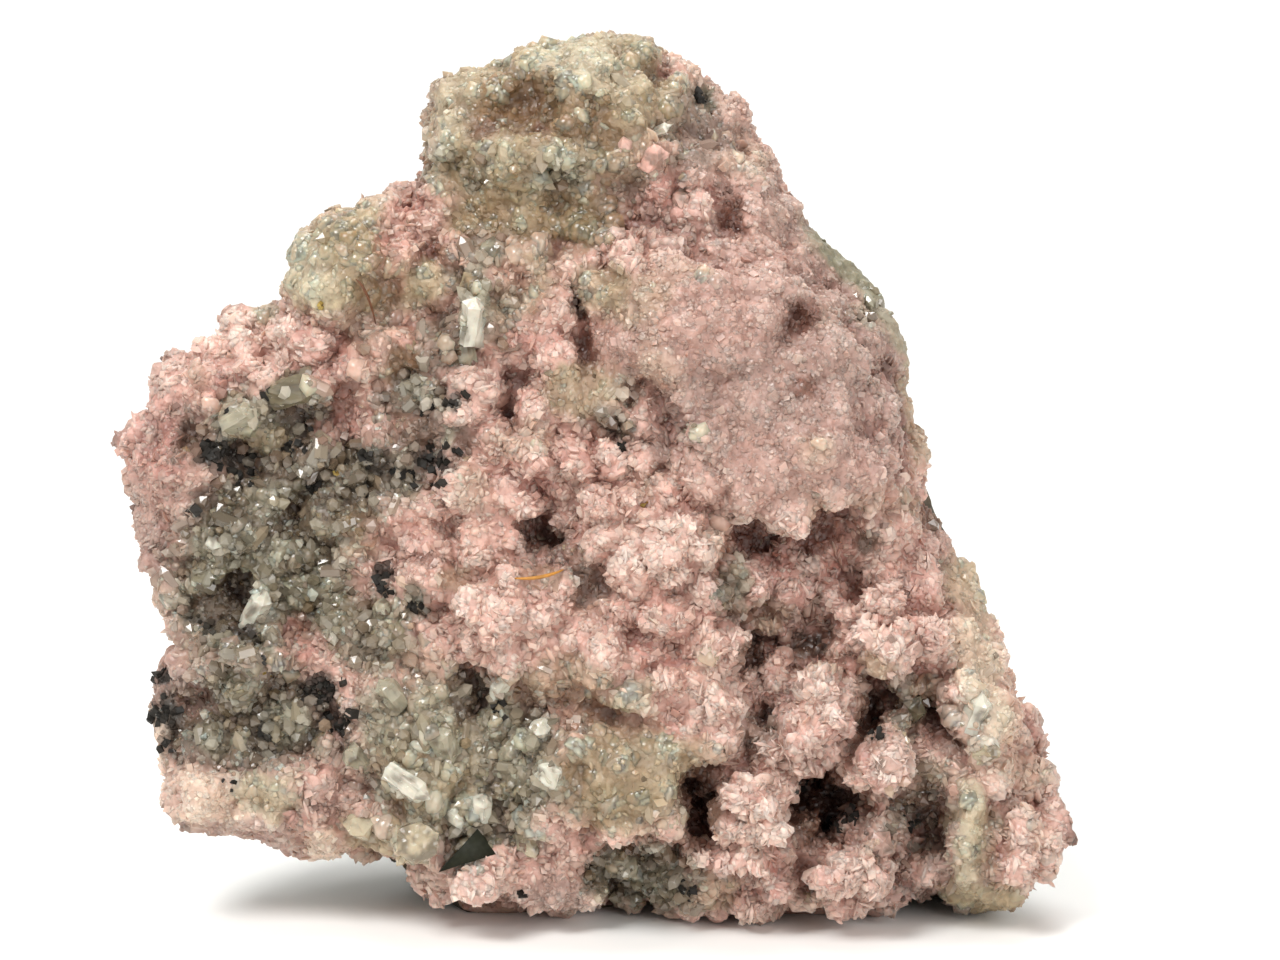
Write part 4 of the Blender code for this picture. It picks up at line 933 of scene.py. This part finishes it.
# Single crystals: stone, u, w, half width and length in mm, leaning in u, w and outwards, and
# the form of those that aren't prisms.
SINGLES = [
    ("ivory", -11.1, 59.8, 1.3, 2.2, 0.15, 1.0, 0.55),
    ("pale", -12.0, 56.6, 1.0, 1.6, -0.2, 1.0, 0.7),
    ("pale", -9.9, 66.3, 1.6, 1.6, -0.8, 0.6, 0.8, "grain"),
    ("ivory", -32.6, 31.6, 1.2, 1.9, 0.55, 1.0, 0.6), ("ivory", -31.1, 28.9, 0.9, 1.1, -0.2, 0.8, 0.9),
    ("ivory", -36.8, 37.8, 0.8, 0.9, 0.3, 0.4, 1.0), ("grey", -28.6, 52.6, 1.5, 1.9, 1.0, 0.15, 0.5),
    ("pale", -33.6, 50.3, 1.2, 1.6, 0.9, 0.5, 0.6),
    ("pale", -20.2, 31.4, 1.0, 1.0, 0.3, 0.6, 1.0),
    ("pale", -19.4, 23.6, 1.2, 1.6, -0.7, 0.9, 0.7),
    ("ivory", -17.3, 14.4, 1.1, 2.1, 0.9, -0.55, 0.5), ("ivory", -10.4, 12.4, 1.0, 1.1, 0.2, 0.9, 0.8),
    ("ivory", -12.9, 11.2, 0.8, 1.2, 0.8, -0.5, 0.7), ("cream", -16.7, 8.9, 2.2, 1.5, 0.15, 0.1, 1.0),
    ("cream", -22.4, 10.4, 1.7, 1.3, -0.3, 0.3, 1.0), ("ivory", -4.8, 19.6, 1.2, 1.3, 0.2, 0.9, 0.8),
    ("ivory", -3.7, 15.9, 1.5, 1.2, 0.1, 0.2, 1.0, "grain"),
    ("pale", -7.6, 17.5, 1.3, 1.3, 0.5, 0.5, 0.8),
    ("pale", -14.2, 19.0, 1.4, 1.6, -0.4, 0.9, 0.8),
    ("pale", -22.8, 17.2, 1.2, 1.5, -0.6, 0.4, 0.9), ("ivory", -8.4, 24.4, 1.0, 1.3, 0.5, 0.8, 0.8),
    ("cream", -6.0, 8.8, 1.8, 1.2, 0.2, 0.2, 1.0, "grain"),
    ("rose", 6.2, 75.6, 1.4, 1.7, 0.15, 0.9, 0.8, "grain"),
    ("shell", 3.4, 76.6, 1.0, 1.0, -0.3, 0.4, 1.0, "grain"),
    ("dusty", 9.4, 71.4, 1.6, 1.5, 0.2, 0.3, 1.0, "grain"), ("ivory", 6.6, 77.9, 0.6, 1.6, 0.9, 0.4, 0.5),
    ("dusty", 28.5, 17.0, 1.3, 1.7, 0.2, 0.7, 0.9, "grain"),
    ("dusty", 28.0, 8.9, 1.4, 1.9, -0.4, 1.0, 0.5, "grain"),
    ("sand", -7.2, 74.4, 0.9, 0.9, 0.2, 0.3, 1.0, "grain"), ("ivory", 37.6, 21.8, 1.2, 1.6, 0.3, 1.0, 0.6),
    ("cream", 38.6, 17.8, 1.1, 1.2, 0.6, 0.5, 0.8), ("grey", 31.6, 21.3, 1.2, 1.5, 0.5, 0.9, 0.7),
    ("sand", -11.4, 63.0, 1.5, 1.4, -0.3, 0.3, 1.0, "grain"),
]


def specimen():
    """The crust and the rock first, then all that grows on the crust, in a fixed order."""
    rng = np.random.default_rng(SEED)
    crust, grid = grow_crust()
    rock = break_rock()
    mesh = crust.data
    ground = (points_of(mesh), normals_of(mesh), triangles_of(mesh))
    tree = BVHTree.FromPolygons(ground[0].tolist(), ground[2].tolist())
    _, kinds, _ = stone_map(ground[0])
    ahead = face_place(ground[0])[2] - seam(ground[0])
    grown = (smooth(-0.45, 0.15, ground[1] @ OUTWARD) * smooth(-0.5, 0.9, ahead)
             * smooth(0.3, 1.5, ground[0][:, 2]))
    for kind in KINDS:
        kinds[kind] = kinds[kind] * grown

    for name, (_, *settings) in MATERIALS.items():
        stone_material(name, *settings)
    finish_piece(crust, "crust_stone")
    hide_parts(NODE)
    finish_piece(rock, "matrix_stone")
    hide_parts(NODE)

    soil = (ground, grid, rng)
    frontal = smooth(-0.15, 0.4, ground[1] @ OUTWARD)
    grow_pink(soil, kinds, frontal)
    grow_quartz(soil, kinds, frontal)
    field(soil, "sulfide_stone", "sulfide_specks",
          kinds["sulfide"] ** 2 + 0.02 * kinds["quartz"] + 0.002, cube_form(), 600, (0.1, 0.34),
          sink=-0.2, rough_shape=0.25, lift=0.5, pale=0.0, skew=1.5)
    black = clusters("sulfide_clusters", BLACK_SPOTS, (0.13, 0.4), (36, 33, 29), tree, rng)
    finish_piece(black, "sulfide_stone")
    brass = clusters("brassy_specks", BRASS_SPOTS, (0.1, 0.22), (160, 138, 80), tree, rng)
    finish_piece(brass, "brass_stone")
    for k, (*path, radius, rgb) in enumerate(FIBRES):
        finish_piece(fibre("fibre_%d" % k, *path, radius, rgb, tree), "fibre_stone")
    finish_piece(shard(tree), "sulfide_stone", "quartz")
    single_crystals(tree, rng)


def grow_pink(soil, kinds, frontal):
    """The fields of rhodochrosite: blades and what grows among them, then sugary grains."""
    u, w, _ = face_place(soil[0][0])
    bladed, sugary, bare = kinds["blade"] * frontal, kinds["sugar"], kinds["bare"]
    rosettes = bladed * (0.15 + smooth(8.0, 16.0, u) * (1.0 - smooth(34.0, 42.0, w)))
    grow = partial(field, soil, "blade_stone")
    grow("rhodochrosite_blades", bladed + 0.3 * bare, blade_form(), 5500, (0.4, 0.95), sink=0.35,
         shape=(1.0, 0.8, 0.9), edge_on=True, flat=False)
    grow("rhodochrosite_flakes", bladed, blade_form(), 1500, (0.4, 0.9), sink=0.25,
         shape=(1.0, 0.75, 0.7), edge_on=True, skew=1.5, pale=0.3)
    grow("rhodochrosite_nodules", bladed, grain_form(), 3200, (0.28, 0.75), sink=0.4, tumble=1.5,
         shape=(1.0, 0.75, 0.75), pale=0.25, flat=False)
    grow("rhodochrosite_petals", rosettes, blade_form(), 1300, (0.7, 1.4), sink=0.35,
         shape=(1.0, 0.7, 0.5), edge_on=True, flat=False)
    grow("rhodochrosite_rhombs", bladed + 0.2 * sugary, cube_form(), 2000, (0.18, 0.42), sink=0.1,
         tumble=1.2, shape=(1.0, 0.9, 0.7), pale=0.25)
    grow("sugary_grains", sugary + 0.2 * kinds["massive"] + 0.5 * bare, grain_form(), 9000,
         (0.16, 0.46), sink=0.35, rough_shape=0.25, skew=1.8)


def grow_quartz(soil, kinds, frontal):
    """The fields of quartz: soft grains, cobbles, small crystals and clear points."""
    u, w, _ = face_place(soil[0][0])
    glassy, massive = kinds["quartz"], kinds["massive"]
    pu, pw, ru, rw = COBBLED
    cobbled = (glassy + massive) * (1.0 - smooth(0.7, 1.0, np.hypot((u - pu) / ru, (w - pw) / rw)))
    grow = partial(field, soil, "quartz_stone")
    grow("soft_grains", (massive + 0.6 * glassy) * frontal, grain_form(), 2400, (0.5, 1.3),
         sink=0.74, rough_shape=0.25, uneven=0.06, pale=0.12, skew=1.2, flat=False,
         strays=("cream", "veil", "tan"))
    grow("quartz_cobbles", cobbled, grain_form(2), 120, (0.7, 1.6), sink=0.66,
         shape=(1.0, 0.8, 0.6), rough_shape=0.08, lift=1.02, pale=0.4, flat=False,
         strays=("ivory", "cream", "pale"))
    grow("small_quartz", glassy, grain_form(), 2000, (0.2, 0.65), sink=0.5, rough_shape=0.35,
         uneven=0.12, pale=0.25, skew=1.5, strays=QUARTZ_STRAYS)
    field(soil, "clear_quartz", "quartz_points", (glassy + 0.03 * massive) * frontal,
          prism_form(POINT_TIP), 1300, (0.3, 0.85), sink=0.3, tumble=0.7, shape=(0.85, 0.85, 1.1),
          rough_shape=0.06, lift=1.4, uneven=0.2, pale=0.4, skew=1.8, strays=QUARTZ_STRAYS)


def touch(tree, u, w):
    """Where the crust is met, coming in towards the face at (u, w), and its normal there."""
    start = frame_place(u, w, RAY_START)
    spot, normal, _, _ = tree.ray_cast(Vector(start), Vector(-OUTWARD))
    if spot is None:
        return None, None
    return np.array(spot), np.array(normal)


def depth_at(tree, u, w):
    """How far out in mm the crust reaches at (u, w)."""
    return face_place(touch(tree, u, w)[0][None])[2][0]


def clusters(name, places, size, rgb, tree, rng):
    """Metallic grains crowded round named places."""
    spots, axes = [], []
    for u, w, spread, count in places:
        for _ in range(count):
            spot, normal = touch(tree, u + rng.normal(0, spread), w + rng.normal(0, spread))
            if spot is not None:
                spots.append(spot + normal * 0.08)
                axes.append(normal + rng.normal(0, 1, 3))
    count = len(spots)
    sizes = rng.uniform(*size, (count, 1)) * rng.uniform(0.7, 1.2, (count, 3))
    tint = np.tile(linear(rgb), (count, 1)) * rng.uniform(0.6, 1.5, (count, 1))
    return plant(name, cube_form(), np.array(spots), spin_to(np.array(axes), rng), sizes, tint,
                 0.25, rng)


def fibre(name, start, bend, end, radius, rgb, tree):
    """A thin bowed fibre over the crust, a tapered tube between two places (u, w) of the face."""
    ends = [depth_at(tree, *place) for place in (start, end)]
    knots = [(*start, ends[0] + 0.1), (*bend, max(ends) + 0.9), (*end, ends[1] + 0.1)]
    a, b, c = (frame_place(*knot) for knot in knots)
    t = np.linspace(0.0, 1.0, 17)[:, None]
    spine = a * (1 - t) ** 2 + b * 2 * t * (1 - t) + c * t ** 2
    along = np.gradient(spine, axis=0)
    side = np.cross(along, OUTWARD)
    side /= np.linalg.norm(side, axis=1, keepdims=True)
    other = np.cross(along, side)
    other /= np.linalg.norm(other, axis=1, keepdims=True)
    width = radius * (0.35 + 0.65 * np.sin(math.pi * t))
    turns = [math.tau * k / 6 for k in range(6)]
    rings = np.stack([spine + width * (side * math.cos(k) + other * math.sin(k)) for k in turns], 1)
    co = np.concatenate([rings.reshape(-1, 3), spine[:1], spine[-1:]])
    last, tris = len(spine) - 1, []
    for k in range(6):
        j = (k + 1) % 6
        for row in range(last):
            p, q = row * 6 + k, row * 6 + j
            tris += [(p, q, q + 6), (p, q + 6, p + 6)]
        tris += [(j, k, len(co) - 2), (last * 6 + k, last * 6 + j, len(co) - 1)]
    return mesh_object(name, co, np.array(tris), np.tile(linear(rgb), (len(co), 1)))


def shard(tree):
    """A flat three-cornered splinter set in the crust."""
    d = depth_at(tree, *np.mean(SHARD, axis=0)) + SHARD_PROUD
    co = [frame_place(u, w, d - 0.3 * k) for k, (u, w) in enumerate(SHARD)]
    co += [frame_place(u, w, d - 4.0) for u, w in SHARD]
    tris = [(0, 2, 1), (3, 4, 5)]
    for k in range(3):
        j = (k + 1) % 3
        tris += [(k, j, j + 3), (k, j + 3, k + 3)]
    return mesh_object("olive_shard", np.array(co), np.array(tris),
                       np.tile(linear(SHARD_COLOUR), (6, 1)))


def weather(obj, tint):
    """Makes the faces of a large crystal finer and slightly uneven, and its body cloudy."""
    with reworked(obj.data) as bm:
        bmesh.ops.subdivide_edges(bm, edges=bm.edges[:], cuts=5, use_grid_fill=True)
        bmesh.ops.triangulate(bm, faces=bm.faces[:])
    co, no = points_of(obj.data), normals_of(obj.data)
    bulge = 0.2 * clouds(co, 1.1, 55) + 0.1 * clouds(co, 0.4, 56)
    co = move_points(obj.data, co, no * bulge[:, None])
    cloud = clouds(co, 1.0, 57) + 0.5 * clouds(co, 0.4, 58)
    tint = tint + (stone_colour("smoke") - tint) * 0.6 * smooth(0.05, 0.5, -cloud)[:, None]
    paint(obj.data, tint * (1.0 + 0.16 * cloud)[:, None])


def single_crystals(tree, rng):
    """The larger crystals that stand alone: glassy ones and pink ones."""
    forms = {"prism": (prism_form(SINGLE_TIP), 0.13), "grain": (grain_form(), 0.22)}
    for k, (stone, u, w, width, length, du, dw, dd, *other) in enumerate(SINGLES):
        form, rough_shape = forms[other[0] if other else "prism"]
        spot, _ = touch(tree, u, w)
        axis = lean() @ np.array((du, -dd, dw))
        size = np.array([[width, width * rng.uniform(0.8, 1.0), length]])
        tint = stone_colour(stone)[None] * 1.16
        obj = plant("crystal_%02d" % k, form, spot[None] - axis * 0.35 * length,
                    spin_to(axis[None], rng), size, tint, rough_shape, rng)
        weather(obj, tint)
        glassy = PALETTE[stone][1] in ("quartz", "massive")
        finish_piece(obj, "milky_quartz" if glassy else "blade_stone")


def stage_and_light():
    """A white sheet that curves up far behind, three soft lights and an even sky."""
    sheet = bpy.data.meshes.new("backdrop")
    side, depth, rise, radius = 40.0, 0.35, 4.0, 0.30
    profile = [(-side, 0.0), (depth, 0.0)]
    profile += [(depth + radius * math.sin(a), radius * (1 - math.cos(a)))
                for a in (math.pi / 2 * k / 16 for k in range(1, 17))]
    profile += [(depth + radius, rise)]
    with reworked(sheet) as bm:
        left, right = [[bm.verts.new((x, y, z)) for y, z in profile] for x in (-side, side)]
        for k in range(len(profile) - 1):
            bm.faces.new((left[k], right[k], right[k + 1], left[k + 1]))
    sheet.shade_smooth()
    backdrop = add_object("backdrop", sheet)
    sheet.materials.append(plain_material("paper", (246, 246, 243), 0.8))

    for name, place, aim_height, size, power in LIGHTS:
        light = bpy.data.lights.new(name, "AREA")
        light.shape = "DISK"
        light.size = size
        light.energy = power
        obj = add_object(name, light)
        obj.location = place
        ray = Vector((0, 0, aim_height)) - Vector(place)
        obj.rotation_euler = ray.to_track_quat("-Z", "Y").to_euler()
    world = bpy.data.worlds.new("world")
    world.use_nodes = True
    fill(world.node_tree, world.node_tree.nodes["Background"],
         {"Color": (1.0, 1.0, 1.0, 1.0), "Strength": SKY_STRENGTH})
    bpy.context.scene.world = world
    bpy.context.scene.view_settings.view_transform = "Standard"


def camera():
    """Square at the face, where the photo's pixels and millimetres meet."""
    data = bpy.data.cameras.new("camera")
    data.lens = LENS
    data.sensor_width = SENSOR
    distance = LENS / SENSOR * PHOTO_WIDTH / PIXELS_PER_MM
    u = (PHOTO_CENTRE[0] - PHOTO_FOOT[0]) / PIXELS_PER_MM
    w = (PHOTO_FOOT[1] - PHOTO_CENTRE[1]) / PIXELS_PER_MM
    obj = add_object("camera", data)
    obj.location = Vector(frame_place(u, w, distance)) * MM
    obj.rotation_euler = (math.radians(90.0 - LEAN_DEG), 0.0, 0.0)
    bpy.context.scene.camera = obj


camera()
specimen()
stage_and_light()
